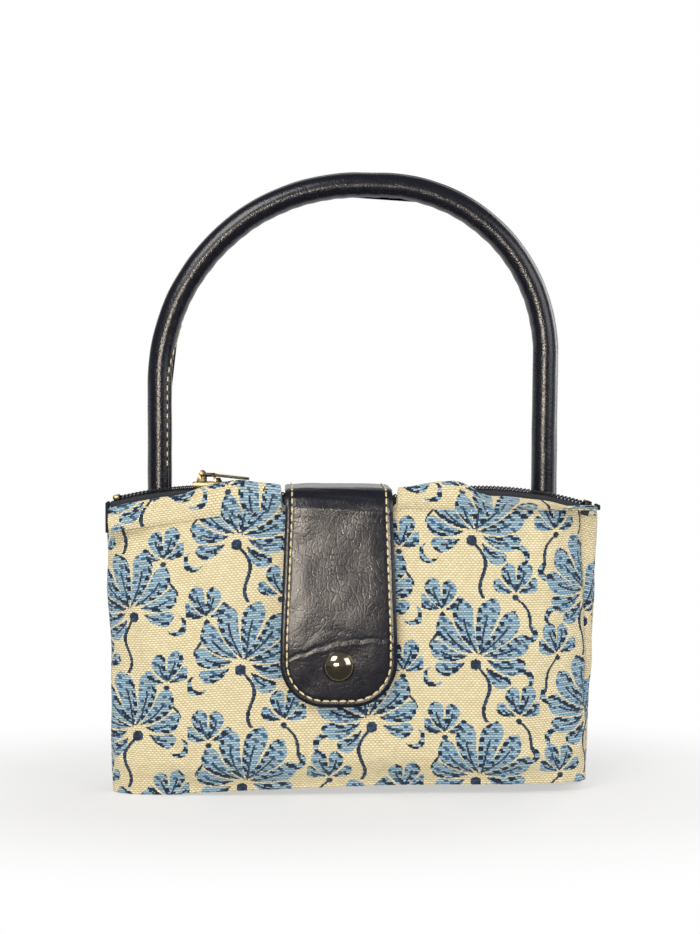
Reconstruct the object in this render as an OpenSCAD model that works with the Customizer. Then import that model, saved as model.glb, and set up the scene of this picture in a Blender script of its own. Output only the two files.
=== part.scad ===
// Foldaway tapestry carry bag, folded to its packet: a zipped front pocket on a stack of folded
// cloth, a stitched leather closure tab with a press stud, and two rolled leather handles.
// X runs to the right of the front face, Y to the back and Z up. The base rests on Z = 0.

/* [Folded bag] */
// Width of the zip band from end to end
bag_w = 240; // [220:1:270]
// Height of the zip at the top of its two humps
bag_h = 153; // [140:1:175]
// Depth of the grooves between the folded layers
fold_depth = 4; // [2:0.5:5]
// Thickness of the rearmost folded layer
back_fold_t = 7; // [5:0.5:12]
// How far the folded layers stand in from the left end of the band
stack_inset_left = 8; // [6:0.5:14]
// How far the folded layers stand out past the right end of the band
stack_outset_right = 4.5; // [0:0.5:6]
// How much narrower the folded layers are at the base, on the right
stack_taper = 4.5; // [0:0.5:8]

/* [Front pocket] */
// Thickness of the tapestry cloth with its backing
cloth_t = 2.2; // [1.6:0.1:3]
// How far the pocket stands out in front of its side seams
pocket_depth = 17.5; // [15:0.5:22]
// How far the left edge of the pocket stands in from the end of the band, low down
pocket_inset_left = 1.2; // [0.5:0.1:4]
// How much further out that edge stands at the top
pocket_flare_left = 2.2; // [0:0.1:3]
// How far the right edge of the pocket stands in from the end of the band, at the top
pocket_inset_right = 6.8; // [5:0.1:12]
// How much further out that edge stands at the base
pocket_flare_right = 5; // [0:0.5:6]
// How far the lower edge of the pocket rises to the right of its left corner
hem_rise = 5; // [0:0.5:8]
// Height of the seam between pocket and band below the zip humps
seam_drop = 11; // [10:0.5:16]
// How much lower that seam runs at the left end
seam_slant = 11.5; // [0:0.5:13]
// Thickness of the pocket lining
lining_t = 0.6; // [0.4:0.1:1]

/* [Zip] */
// Distance of the zip in front of the middle of the bag
zip_setback = 11; // [9:0.5:14]
// Radius of the humps in the line of the zip
zip_r = 185; // [160:5:300]
// Distance of each hump from the dip between them
hump_x = 66; // [56:1:76]
// Distance of the dip to the left of the middle
dip_offset = 4; // [0:0.5:7]
// Distance from the middle of the zip to where the tape turns down
tape_turn = 5.8; // [5.4:0.1:7]
// Thickness of the zip tape
tape_t = 0.7; // [0.5:0.1:0.9]
// Depth of the tape below its turn
tape_drop = 5; // [4:0.5:6]
// Height of the coil on the tape
coil_h = 2; // [1.6:0.1:2.4]
// Width of each row of the coil
coil_w = 2.4; // [2:0.1:2.6]
// Distance from one turn of the coil to the next
coil_pitch = 2; // [1.6:0.1:3]
// Width of the gap between the two rows, where the slider's divider runs
coil_gap = 1.2; // [1:0.1:1.6]
// Length of the slider
slider_len = 16; // [12:0.5:18]
// Thickness of the slider's two plates
slider_plate_t = 1.2; // [0.9:0.1:1.4]
// Distance of the slider from the left hump at rest, to the left
slider_rest = 0.5; // [0:0.5:10]
// Height of the pull's pivot above the slider's top plate
bridge_h = 3.9; // [3.7:0.1:5]
// Length of the pull beyond its pivot
pull_len = 23; // [18:1:28]
// Width of the pull
pull_w = 5.6; // [5:0.1:7]
// Slope of the pull at rest, in degrees below the level
pull_slope = 6; // [2:1:10]

/* [Closure tab] */
// Distance of the tab to the left of the middle
tab_offset = 7.5; // [0:0.5:9]
// Width of the tab where it goes over the zip
tab_top_w = 52; // [40:1:56]
// Width of the tab at its widest
tab_w = 56.5; // [55:0.5:64]
// Radius of the tab's lower corners
tab_corner_r = 22; // [15:0.5:24]
// Height of the tab's lower end above the base
tab_low_z = 46.5; // [38:0.5:52]
// Height of the tab's sewn end on the back
tab_back_z = 108; // [98:1:118]
// Thickness of the face leather
tab_face_t = 1.2; // [1:0.1:1.8]
// Thickness of the backing leather
tab_back_t = 0.8; // [0.7:0.1:1.4]
// Radius of the bend over the front of the zip
tab_bend_r = 9; // [8:0.5:12]

/* [Press stud] */
// Height of the press stud above the base
stud_z = 66.5; // [60:0.5:74]
// Diameter of the domed cap
cap_d = 15.2; // [12:0.2:17]
// Height of the domed cap
cap_h = 4.2; // [3:0.1:5]
// Diameter of the socket under the tab
socket_d = 10.4; // [9:0.2:12]
// Thickness of the socket
socket_t = 2.6; // [2.2:0.1:3]
// Diameter of the hole in the socket
socket_bore_d = 4.8; // [4.4:0.1:5.2]
// Thickness of the stud's flange
stud_flange_t = 0.8; // [0.6:0.1:1]
// Diameter of the rivet stem through the cloth
stem_d = 2.6; // [2:0.1:3]

/* [Handles] */
// Diameter of the rolled handle
handle_d = 12; // [10:0.5:14]
// Thickness of the rolled leather
handle_wall = 1.3; // [1:0.1:1.6]
// Distance between the legs of the front handle
handle_span = 191; // [186:1:196]
// Height of the middle of the roll at the top of the front handle
handle_top_z = 300; // [270:1:340]
// Radius of the left shoulder of the front handle
shoulder_left_r = 98; // [90:1:106]
// Radius of the right shoulder of the front handle
shoulder_right_r = 82; // [70:1:88]
// How much wider the back handle is
back_handle_extra = 4; // [0:0.5:6]
// Height above the zip humps at which the handles bend over
handle_bend_h = 15; // [14:0.5:24]
// Length of the sewn end of a handle inside the bag
handle_end_len = 24; // [18:1:30]

/* [Hidden] */

// Clearances
fit = 0.3;
loose_fit = 0.5;
pivot_fit = 0.07;
handle_gap = 1;
cut_over = 1;

// Colours
tapestry = "#d9cfa6";
dark_cloth = "#23283a";
navy_leather = "#1c1d2b";
gunmetal = "#8b8474";
nickel = "#b9b4a8";
cord_white = "#d8d5cc";

// Resolution of round pieces and of the long zip arcs
round_fn = 48;
arc_fn = 720;

// Places from front to back
zip_y = -zip_setback;
tape_out = tape_turn + tape_t;
band_in_y = zip_y - tape_out - fit;
band_out_y = band_in_y - cloth_t;
side_seam_y = zip_y + tape_turn;
handle_front_y = zip_y + tape_out + handle_gap + handle_d / 2;
handle_back_y = handle_front_y + handle_d + handle_gap;
back_y = handle_back_y + back_fold_t;

// Line of the zip: two humps with a dip between them, all of one radius
tab_x = -tab_offset;
dip_mid_x = -dip_offset;
bag_half = bag_w / 2;
zip_half = bag_half - 2;
dip_x = hump_x / 2;
hump_sag = zip_r - sqrt(pow(zip_r, 2) - pow(dip_x, 2));
dip_z = bag_h - 2 * hump_sag;

function hump_line(offset) = sqrt(pow(zip_r, 2) - pow(offset, 2)) - zip_r;
function zip_z(x) = let (d = x - dip_mid_x)
    abs(d) >= dip_x ? bag_h + hump_line(abs(d) - hump_x) : dip_z - hump_line(d);
function zip_tilt(x) = let (d = x - dip_mid_x)
    abs(d) >= dip_x ? asin((d - sign(d) * hump_x) / zip_r) : -asin(d / zip_r);

// Shared shaping functions
function clamp(t) = min(1, max(0, t));
function smooth(t) = let (c = clamp(t)) c * c * (3 - 2 * c);
function mix(a, b, t) = a + (b - a) * t;
function arc(centre, r, from, to, steps) = [
    for (i = [0 : steps]) let (a = mix(from, to, i / steps)) centre + r * [cos(a), sin(a)]
];
function join(rows) = [for (row = rows) each row];

// Closed sheet of cloth between an outer and an inner grid of points
module sheet(outer, inner) {
    columns = len(outer);
    rows = len(outer[0]);
    shift = columns * rows;
    function out(i, j) = i * rows + j;
    function in(i, j) = shift + i * rows + j;
    function quad(a, b, c, d) = [[a, b, c], [a, c, d]];
    last_i = columns - 1;
    last_j = rows - 1;
    polyhedron(concat(join(outer), join(inner)), concat(
        [for (i = [0 : last_i - 1], j = [0 : last_j - 1])
            each quad(out(i, j), out(i, j + 1), out(i + 1, j + 1), out(i + 1, j))],
        [for (i = [0 : last_i - 1], j = [0 : last_j - 1])
            each quad(in(i, j), in(i + 1, j), in(i + 1, j + 1), in(i, j + 1))],
        [for (j = [0 : last_j - 1]) each quad(out(0, j + 1), out(0, j), in(0, j), in(0, j + 1))],
        [for (j = [0 : last_j - 1])
            each quad(out(last_i, j), out(last_i, j + 1), in(last_i, j + 1), in(last_i, j))],
        [for (i = [0 : last_i - 1]) each quad(out(i, 0), out(i + 1, 0), in(i + 1, 0), in(i, 0))],
        [for (i = [0 : last_i - 1])
            each quad(out(i + 1, last_j), out(i, last_j), in(i, last_j), in(i + 1, last_j))]
    ), convexity = 6);
}

// Closed solid through a row of like outlines, the first facing the front
module loft(rings) {
    count = len(rings[0]);
    last = len(rings) - 1;
    polyhedron(join(rings), concat(
        [[for (j = [count - 1 : -1 : 0]) j]],
        [for (i = [0 : last - 1], j = [0 : count - 1])
            let (a = i * count + j, b = i * count + (j + 1) % count)
            each [[a, b, b + count], [a, b + count, a + count]]],
        [[for (j = [0 : count - 1]) last * count + j]]
    ), convexity = 8);
}

// Folded stack. Each layer is [front, back, side inset, drop below the zip, lift of the base].
base_corner_r = 6;
stack_edge = 5;
top_steps = 12;
layer_steps = [-1, -0.82, -0.4, 0.4, 0.82, 1];
layer_flat = 0.4;
layer_step = 0.4;
pocket_layer_drop = coil_h + tape_t + tape_drop + fit;
stack_layers = [
    [side_seam_y - 5, side_seam_y + loose_fit + tape_t, 20, pocket_layer_drop, 6],
    [side_seam_y + loose_fit + tape_t, handle_front_y, 1.5, 5, 0],
    [handle_front_y, handle_back_y, 0, 3.5, 0],
    [handle_back_y, back_y, 0.8, 5, 0]
];

function stack_left(z) = -bag_half + stack_inset_left;
function stack_right(z) = bag_half + stack_outset_right - stack_taper * (1 - z / bag_h);
function rounding(s) = let (e = clamp((abs(s) - layer_flat) / (1 - layer_flat)))
    fold_depth * (1 - sqrt(1 - e * e));

function stack_outline(y, side, drop, lift) =
    let (
        left = stack_left(lift) + side,
        right = stack_right(lift) - side,
        top_left = stack_left(bag_h) + side,
        top_right = stack_right(bag_h) - side,
        left_z = zip_z(top_left) - drop,
        right_z = zip_z(top_right) - drop,
        r = base_corner_r
    )
    [for (p = concat(
        arc([left + r, lift + r], r, 180, 270, 4),
        arc([right - r, lift + r], r, 270, 360, 4),
        [for (t = [0.35, 0.7]) [mix(right, top_right, t), mix(lift, right_z, t)]],
        [[top_right, right_z - stack_edge], [top_right - 1.2, right_z - 1.4]],
        [for (i = [0 : top_steps])
            let (x = mix(top_right - stack_edge, top_left + stack_edge, i / top_steps))
            [x, zip_z(x) - drop]],
        [[top_left + 1.2, left_z - 1.4], [top_left, left_z - stack_edge]],
        [for (t = [0.7, 0.35]) [mix(left, top_left, t), mix(lift, left_z, t)]]
    )) [p.x, y, p.y]];

function stack_rings() = [
    for (layer = stack_layers, s = layer_steps)
        let (
            mid = (layer[0] + layer[1]) / 2,
            half = (layer[1] - layer[0] - layer_step) / 2,
            inset = rounding(s)
        )
        stack_outline(mid + s * half, layer[2] + inset, layer[3] + inset, layer[4] + inset / 2)
];

module folded_shopper() {
    color(tapestry) difference() {
        loft(stack_rings());
        handle_end_places(handle_front_y, front_legs()) handle_end(fit);
        handle_end_places(handle_back_y, back_legs()) handle_end(fit);
    }
}

// Front pocket: a panel that swells between its side seams, and its lining
seam_gap = 0.3;
panel_columns = 22;
panel_rows = [0, 0.03, 0.08, 0.16, 0.3, 0.45, 0.6, 0.75, 0.88, 1];
lining_columns = 14;
lining_rows = [0.04, 0.12, 0.35, 0.65, 0.94];
lining_gap = stud_flange_t + 2 * fit;
section_power = 6;
hem_start = -88;
hem_run = 110;

function seam_z(x) = bag_h - seam_drop - seam_slant * pow(clamp(-(x + 25) / (bag_half - 25)), 1.5);
function hem_z(x) = hem_rise * pow(clamp((x - hem_start) / hem_run), 0.6);
function panel_left(v) = -bag_half + pocket_inset_left - pocket_flare_left * smooth((v - 0.5) / 0.35);
function panel_right(v) = bag_half - pocket_inset_right + pocket_flare_right * (1 - v);
function panel_depth(v) = pocket_depth * (0.6 + 0.4 * smooth(v / 0.14)) * (1 - 0.15 * smooth((v - 0.55) / 0.45));

// Point of the pocket at u across and v up, taken in from its outside by a thickness
function pocket_point(u, v, in = 0) =
    let (
        half = (panel_right(v) - panel_left(v)) / 2,
        mid = (panel_right(v) + panel_left(v)) / 2,
        across = 2 * u - 1,
        section = sqrt(max(0, 1 - pow(abs(across), section_power))),
        x = mid + across * (half - in),
        z = mix(hem_z(x), seam_z(x), v)
    )
    [x, side_seam_y - (panel_depth(v) - in) * section, z];

function spread(i, steps) = (1 - cos(180 * i / steps)) / 2;
function pocket_grid(columns, rows, in) = [
    for (i = [0 : columns]) [for (v = rows) pocket_point(spread(i, columns), v, in)]
];

// Front of the pocket at a place in front of the tab
function pocket_front(x, z) =
    let (
        v = (z - hem_z(x)) / (seam_z(x) - hem_z(x)),
        u = (x - panel_left(v)) / (panel_right(v) - panel_left(v))
    )
    pocket_point(u, v).y;

module front_panel() {
    color(tapestry) difference() {
        sheet(pocket_grid(panel_columns, panel_rows, 0), pocket_grid(panel_columns, panel_rows, cloth_t));
        stud_axis(pocket_front(tab_x, stud_z)) cylinder(
            d = stem_d + 2 * fit, h = 4 * cloth_t, center = true, $fn = round_fn);
    }
}

module pocket_lining() {
    inside = cloth_t + lining_gap;
    color(dark_cloth) sheet(
        pocket_grid(lining_columns, lining_rows, inside),
        pocket_grid(lining_columns, lining_rows, inside + lining_t));
}

// Band of tapestry above the seam. It covers the foot of the front tape, and puffs up on both
// sides of the tab, where the tab draws the zip down.
band_columns = 60;
band_rows = [0, 0.35, 0.7, 1];
tape_show = 4.2;
puff_rise = 7.8;
puff_flat = [17, 26];
puff_fall = [40, 20];
tab_shadow = 9;
band_least = 1.6;

function puff(x, edge) = let (away = abs(x - tab_x) - edge, side = x < tab_x ? 0 : 1)
    away < 0 ? -tab_shadow * smooth(-away / 4) / puff_rise : 1 - smooth((away - puff_flat[side]) / puff_fall[side]);
function band_low(x) = seam_z(x) + seam_gap;
function band_top(x) = max(
    band_low(x) + band_least, zip_z(x) - tape_show + puff_rise * puff(x, tab_top_w / 2 + 2));
function band_grid(y) = [
    for (i = [0 : band_columns]) let (x = mix(-bag_half, bag_half, i / band_columns))
        [for (v = band_rows) [x, y - 0.6 * sin(180 * v), mix(band_low(x), band_top(x), v)]]
];

module front_band() {
    color(tapestry) sheet(band_grid(band_out_y), band_grid(band_in_y));
}

// Dark binding that closes the raw ends of band and zip tape
binding_t = 1;
module band_binding() {
    depth = tape_out + cloth_t + fit;
    color(dark_cloth) for (side = [-1, 1]) {
        x = side * (bag_half + fit);
        z = band_low(x);
        translate([side > 0 ? x : x - binding_t, band_out_y, z])
            cube([binding_t, depth, max(zip_z(side * zip_half) - coil_h, band_top(x)) - z]);
    }
}

// Points along the zip at a height above the top of the coil
zip_steps = 64;
function zip_point(x, h) = [x + h * sin(zip_tilt(x)), zip_z(x) + h * cos(zip_tilt(x))];
function zip_line(h) = [for (i = [0 : zip_steps]) zip_point(mix(-zip_half, zip_half, i / zip_steps), h)];

// Strip along the zip between two heights, from one distance off its middle to another. Distances
// are counted towards the front, or towards the back where way is -1.
module zip_strip(way, near, far, low, high) {
    middle = way * (near + far) / 2;
    translate([0, zip_y - middle, 0]) rotate([90, 0, 0]) linear_extrude(far - near, center = true)
        polygon(concat(zip_line(low), reversed(zip_line(high))));
}

function reversed(list) = [for (i = [len(list) - 1 : -1 : 0]) list[i]];

// Zip tapes: each lies flat under its row of the coil, then turns down
tape_low = -coil_h - tape_t - tape_drop;
row_in = coil_gap / 2;
row_out = row_in + coil_w;

module tape(way) {
    zip_strip(way, row_in, tape_out - tape_t / 2, -coil_h - tape_t, -coil_h);
    zip_strip(way, tape_turn, tape_out, tape_low, -coil_h - tape_t / 2);
}

module zip_tape_front() {
    color(dark_cloth) tape(1);
}

module zip_tape_back() {
    color(dark_cloth) tape(-1);
}

// Rows of the coil, notched between one turn and the next
coil_seat = 0.05;
notch_share = 0.4;
notch_depth_share = 0.6;

module coil_row(way) {
    turns = floor(2 * zip_half / coil_pitch);
    deep = notch_depth_share * coil_w;
    difference() {
        zip_strip(way, row_in, row_out, -coil_h + coil_seat, 0);
        for (i = [0 : turns]) {
            x = (i - turns / 2) * coil_pitch;
            translate([x, zip_y - way * (row_in + deep / 2 - cut_over / 2), zip_z(x) - coil_h / 2])
                rotate([0, zip_tilt(x), 0])
                    cube([notch_share * coil_pitch, deep + cut_over, coil_h + cut_over], center = true);
        }
    }
}

module zip_coil_front() {
    color(navy_leather) coil_row(1);
}

module zip_coil_back() {
    color(navy_leather) coil_row(-1);
}

// Metal stops clamped over the coil at both ends of the zip
stop_len = 3;
stop_t = 0.5;
stop_gap = 0.1;
stop_end = 1;

stop_inner_t = 0.3;

// Clamp over the coil from one distance off its middle to another, at x on the zip
module stop(x, near, far, near_t) {
    translate([x, zip_y, zip_z(x)]) rotate([0, zip_tilt(x), 0]) difference() {
        translate([-stop_len / 2, -far - stop_gap - stop_t, -coil_h + coil_seat])
            cube([stop_len, far - near + 2 * stop_gap + stop_t + near_t, coil_h + stop_gap + stop_t]);
        translate([-stop_len, -far - stop_gap, -coil_h - cut_over])
            cube([2 * stop_len, far - near + 2 * stop_gap, coil_h + stop_gap + cut_over]);
    }
}

module zip_top_stops() {
    x = -zip_half + stop_end + stop_len / 2;
    color(gunmetal) for (way = [0, 1]) translate([0, zip_y, 0]) mirror([0, way, 0]) translate([0, -zip_y, 0])
        stop(x, row_in, row_out, stop_inner_t);
}

module zip_bottom_stop() {
    color(gunmetal) stop(zip_half - stop_end - stop_len / 2, -row_out, row_out, stop_t);
}

// Slider: two plates joined by a divider between the rows, with a pierced bridge for the pull on top.
// It is drawn about the centre of the left hump, which it runs around.
slider_rail_t = 1;
slider_half_w = row_out + loose_fit + slider_rail_t;
slider_top = fit + slider_plate_t;
slider_angle = slider_len / zip_r * 180 / PI;
slider_place = -asin(slider_rest / zip_r);
divider_w = coil_gap - 2 * fit;
divider_len = 3;
pivot_h = slider_top + bridge_h;
pivot_x = -3.4;
pivot_d = 1.8;
bridge_w = 2.4;
bridge_r = 1.8;
bridge_foot = 14;
lug_foot = 6.4;
cage_len = 6.2;
cage_h = pivot_h + 0.4;
ramp_len = 8.6;
ramp_h = pivot_h - 2;
window_x = -1.2;
window_len = 3.2;
window_h = 2.2;

module at_slider() {
    translate([dip_mid_x - hump_x, zip_y, bag_h - zip_r]) rotate([0, slider_place, 0]) children();
}

module around_hump(angle, from = 0) {
    rotate([90, 0, 0]) rotate_extrude(angle = angle, start = 90 - angle / 2 - from, $fn = arc_fn)
        translate([zip_r, 0]) mirror([1, -1]) children();
}

module zip_slider() {
    plate_low = -coil_h - tape_t - loose_fit - slider_plate_t;
    color(gunmetal) at_slider() {
        around_hump(slider_angle) {
            translate([-slider_half_w, fit]) square([2 * slider_half_w, slider_plate_t]);
            translate([-slider_half_w, plate_low]) square([2 * slider_half_w, slider_plate_t]);
            for (way = [0, 1]) mirror([way, 0])
                translate([slider_half_w - slider_rail_t, -coil_h + fit])
                    square([slider_rail_t, coil_h + slider_plate_t]);
        }
        around_hump(divider_len / zip_r * 180 / PI, -(slider_len - divider_len) / 2 / zip_r * 180 / PI)
            translate([-divider_w / 2, plate_low]) square([divider_w, -plate_low + slider_top]);
        translate([0, 0, zip_r]) rotate([90, 0, 0]) linear_extrude(bridge_w, center = true, $fn = round_fn)
            difference() {
                union() {
                    translate([pivot_x, pivot_h]) circle(bridge_r);
                    polygon([
                        [pivot_x - lug_foot / 2, fit], [pivot_x + lug_foot / 2, fit],
                        [pivot_x + bridge_r, pivot_h], [pivot_x - bridge_r, pivot_h]
                    ]);
                    polygon([
                        [pivot_x, fit], [bridge_foot / 2, fit], [pivot_x + ramp_len, ramp_h],
                        [pivot_x + cage_len + 0.4, ramp_h], [pivot_x + cage_len, cage_h], [pivot_x, cage_h]
                    ]);
                }
                translate([pivot_x, pivot_h]) circle(d = pivot_d);
                translate([window_x, slider_top + 0.2]) square([window_len, window_h]);
            }
    }
}

// Pull: a flat tongue on a bar through the bridge, lying to the right at rest
pull_t = 1.2;
pull_neck = 7;
pull_bar_d = pivot_d - 2 * pivot_fit;
pull_eye_r = 1.4;
pull_side_gap = 0.2;

module zip_pull() {
    arm_in = bridge_w / 2 + pull_side_gap;
    color(gunmetal) at_slider() translate([pivot_x, 0, zip_r + pivot_h]) rotate([0, pull_slope - slider_place, 0]) {
        rotate([90, 0, 0]) cylinder(d = pull_bar_d, h = pull_w - 1, center = true, $fn = round_fn);
        for (way = [0, 1]) mirror([0, way, 0]) {
            translate([0, -arm_in, 0]) rotate([90, 0, 0])
                cylinder(r = pull_eye_r, h = pull_w / 2 - arm_in, $fn = round_fn);
            translate([0, -pull_w / 2, -pull_t / 2]) cube([pull_neck + 1, pull_w / 2 - arm_in, pull_t]);
        }
        linear_extrude(pull_t, center = true, $fn = round_fn) {
            translate([pull_neck, -pull_w / 2]) square([pull_len - pull_neck - pull_w / 2, pull_w]);
            translate([pull_len - pull_w / 2, 0]) circle(d = pull_w);
        }
    }
}

// Closure tab: two layers of leather from the back, over the zip and down the front. The part
// below the front bend swings; the rest is sewn to the bag.
layer_gap = 0.05;
tab_t = tab_back_t + layer_gap + tab_face_t;
strap_back_y = back_y + fit;
strap_back_r = 8;
strap_front_y = band_out_y - 1.6;
bend_y = strap_front_y + tab_bend_r;

// Height at which the strap clears an edge of the zip that lies at y and z
function strap_over(y, z) = y >= bend_y ? z + fit
    : z + tab_bend_r - sqrt(pow(tab_bend_r - fit, 2) - pow(y - bend_y, 2));
strap_zip_z = max(zip_z(tab_x - tab_top_w / 2), zip_z(tab_x + tab_top_w / 2));
strap_top_z = max(
    strap_zip_z + fit, strap_over(zip_y - row_out, strap_zip_z), strap_over(zip_y - tape_out, strap_zip_z - coil_h));
hinge_z = strap_top_z - tab_bend_r;
hinge_y = strap_front_y - tab_t;
hinge_gap = 0.3;

function strap_line(out) = concat(
    [[strap_back_y + out, tab_back_z]],
    arc([strap_back_y - strap_back_r, strap_top_z - strap_back_r], strap_back_r + out, 0, 90, 10),
    arc([bend_y, hinge_z], tab_bend_r + out, 90, 180, 16)
);

stud_seat = 0.15;
stud_gap = 0.25;
cloth_front_y = pocket_front(tab_x, stud_z);
flap_back_y = cloth_front_y - stud_seat - stud_flange_t - stud_gap - socket_t;
flap_steps = 18;
flap_top_z = hinge_z - hinge_gap;
flap_flat_z = stud_z + socket_d / 2 + 2;

function flap_line(out) = [
    for (i = [0 : flap_steps]) let (z = mix(flap_top_z, tab_low_z, i / flap_steps))
        [mix(strap_front_y, flap_back_y, smooth((flap_top_z - z) / (flap_top_z - flap_flat_z))) - out, z]
];

module strip(inner, outer) {
    rotate([90, 0, 90]) linear_extrude(2 * tab_w, center = true) polygon(concat(inner, reversed(outer)));
}

module tab_outline(grow = 0) {
    wide_z = tab_low_z + tab_corner_r + 10;
    r = tab_corner_r;
    translate([tab_x, 0, 0]) rotate([90, 0, 0]) linear_extrude(bag_w, center = true) polygon(concat(
        [[-tab_top_w / 2, bag_h + tab_t + 10], [-tab_top_w / 2, hinge_z], [-tab_w / 2, wide_z]],
        arc([-tab_w / 2 + r, tab_low_z + r], r, 180, 270, 10),
        arc([tab_w / 2 - r, tab_low_z + r], r, 270, 360, 10),
        [[tab_w / 2, wide_z], [tab_top_w / 2, hinge_z], [tab_top_w / 2, bag_h + tab_t + 10]]
    ));
}

module strap_layer(inner, outer) {
    translate([tab_x, 0, 0]) rotate([90, 0, 90]) linear_extrude(tab_top_w, center = true)
        polygon(concat(strap_line(inner), reversed(strap_line(outer))));
}

module flap_layer(inner, outer, hole_d) {
    difference() {
        intersection() {
            strip(flap_line(inner), flap_line(outer));
            tab_outline();
        }
        stud_axis(flap_back_y) cylinder(d = hole_d, h = 4 * tab_t, center = true, $fn = round_fn);
    }
}

// Places a piece of the press stud, drawn with Z towards the front
module stud_axis(y) {
    translate([tab_x, y, stud_z]) rotate([90, 0, 0]) children();
}

post_d = 3.2;

module tab_strap_face() {
    color(navy_leather) strap_layer(tab_back_t + layer_gap, tab_t);
}

module tab_strap_backing() {
    color(navy_leather) strap_layer(0, tab_back_t);
}

module tab_flap_face() {
    color(navy_leather) flap_layer(tab_back_t + layer_gap, tab_t, post_d + 2 * pivot_fit);
}

module tab_flap_backing() {
    color(navy_leather) flap_layer(0, tab_back_t, post_d + 2 * pivot_fit);
}

// Press stud: cap and socket clamp the tab, stud and rivet clamp the cloth
cap_rim = 0.9;
cap_seat = 0.05;
nose_d = socket_bore_d - 0.4;
nose_len = 1.9;
post_end = 0.5;

module stud_cap() {
    r = cap_d / 2;
    dome_h = cap_h - cap_rim;
    dome_r = (pow(r, 2) + pow(dome_h, 2)) / (2 * dome_h);
    color(nickel) {
        stud_axis(flap_back_y - tab_t - cap_seat) rotate_extrude($fn = round_fn * 2) polygon(concat(
            [[0, 0], [r - 0.4, 0], [r, 0.4], [r, cap_rim]],
            arc([0, cap_h - dome_r], dome_r, asin((cap_rim - cap_h + dome_r) / dome_r), 90, 12)
        ));
        stud_axis(flap_back_y + post_end) cylinder(d = post_d, h = tab_t + cap_seat + post_end + 0.5, $fn = round_fn);
    }
}

module stud_socket() {
    color(nickel) stud_axis(flap_back_y + socket_t) difference() {
        rotate_extrude($fn = round_fn) polygon([
            [0, 0], [socket_d / 2 - 1.2, 0], [socket_d / 2, 1.2], [socket_d / 2, socket_t - cap_seat], [0, socket_t - cap_seat]
        ]);
        translate([0, 0, -cut_over]) cylinder(d = socket_bore_d, h = socket_t + 2 * cut_over, $fn = round_fn);
    }
}

module stud_post() {
    color(nickel) stud_axis(cloth_front_y - stud_seat) difference() {
        rotate_extrude($fn = round_fn) polygon([
            [0, 0], [socket_d / 2, 0], [socket_d / 2, stud_flange_t], [nose_d / 2 - 0.3, stud_flange_t],
            [nose_d / 2 - 0.3, stud_flange_t + 0.5], [nose_d / 2, stud_flange_t + 0.9],
            [nose_d / 2, stud_flange_t + nose_len - 0.5], [nose_d / 2 - 0.5, stud_flange_t + nose_len],
            [0, stud_flange_t + nose_len]
        ]);
        translate([0, 0, -cut_over])
            cylinder(d = stem_d + 2 * pivot_fit, h = stud_flange_t + cut_over + 1, $fn = round_fn);
    }
}

module stud_rivet() {
    seat_y = cloth_front_y + cloth_t + stud_seat;
    color(nickel) stud_axis(seat_y) {
        translate([0, 0, -stud_flange_t]) cylinder(d = socket_d - 1, h = stud_flange_t, $fn = round_fn);
        cylinder(d = stem_d, h = cloth_t + 2 * stud_seat + stud_flange_t, $fn = round_fn);
    }
}

// Rolled handles: a leather tube over a cord core, bending just above sewn ends
handle_r = handle_d / 2;
bend_z = bag_h + handle_bend_h;
end_top_z = bend_z - handle_r - fit;
end_low_z = bag_h - 11;
end_tab_w = 14;
end_tab_t = 2.6;
core_gap = 0.1;
bore_r = handle_r - handle_wall;
back_shift = 1;

function front_legs() = [-handle_span / 2, handle_span / 2];
function back_legs() = [for (x = front_legs()) x + back_shift + sign(x) * back_handle_extra / 2];

module tube(r_out, r_in, len) {
    linear_extrude(len, $fn = round_fn) difference() {
        circle(r_out);
        if (r_in > 0) circle(r_in);
    }
}

module handle_run(legs, extra, r_out, r_in) {
    left_r = shoulder_left_r + extra / 2;
    right_r = shoulder_right_r + extra / 2;
    top_z = handle_top_z + extra / 2;
    translate([legs[0], 0, bend_z]) tube(r_out, r_in, top_z - left_r - bend_z);
    translate([legs[1], 0, bend_z]) tube(r_out, r_in, top_z - right_r - bend_z);
    translate([legs[0] + left_r, 0, top_z]) rotate([0, 90, 0])
        tube(r_out, r_in, legs[1] - right_r - legs[0] - left_r);
    translate([legs[0] + left_r, 0, top_z - left_r]) rotate([90, 0, 0])
        rotate_extrude(angle = 90, start = 90, $fn = round_fn * 3) translate([left_r, 0]) ring(r_out, r_in);
    translate([legs[1] - right_r, 0, top_z - right_r]) rotate([90, 0, 0])
        rotate_extrude(angle = 90, start = 0, $fn = round_fn * 3) translate([right_r, 0]) ring(r_out, r_in);
}

module ring(r_out, r_in) {
    difference() {
        circle(r_out, $fn = round_fn);
        if (r_in > 0) circle(r_in, $fn = round_fn);
    }
}

module handle_cover(y, legs, extra) {
    translate([0, y, 0]) {
        handle_run(legs, extra, handle_r, bore_r);
        for (x = legs) translate([x, 0, bend_z]) difference() {
            sphere(handle_r, $fn = round_fn);
            sphere(bore_r, $fn = round_fn);
            translate([-handle_d, -handle_d, 0]) cube([2 * handle_d, 2 * handle_d, handle_d]);
        }
    }
}

module handle_core(y, legs, extra) {
    translate([0, y, 0]) handle_run(legs, extra, bore_r - core_gap, 0);
}

// One sewn end: the round stump in the mouth of the bag and the flat tongue between the folds
module handle_end(grow) {
    translate([0, 0, end_low_z - grow]) cylinder(r = handle_r - 0.1 + grow, h = end_top_z - end_low_z + grow, $fn = round_fn);
    translate([-end_tab_w / 2 - grow, -end_tab_t / 2 - grow, end_low_z - handle_end_len - grow])
        cube([end_tab_w + 2 * grow, end_tab_t + 2 * grow, handle_end_len + 2 * grow + 1]);
}

module handle_end_places(y, legs) {
    for (x = legs) translate([x, y, 0]) children();
}

module handle_front_cover() {
    color(navy_leather) handle_cover(handle_front_y, front_legs(), 0);
}

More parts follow.
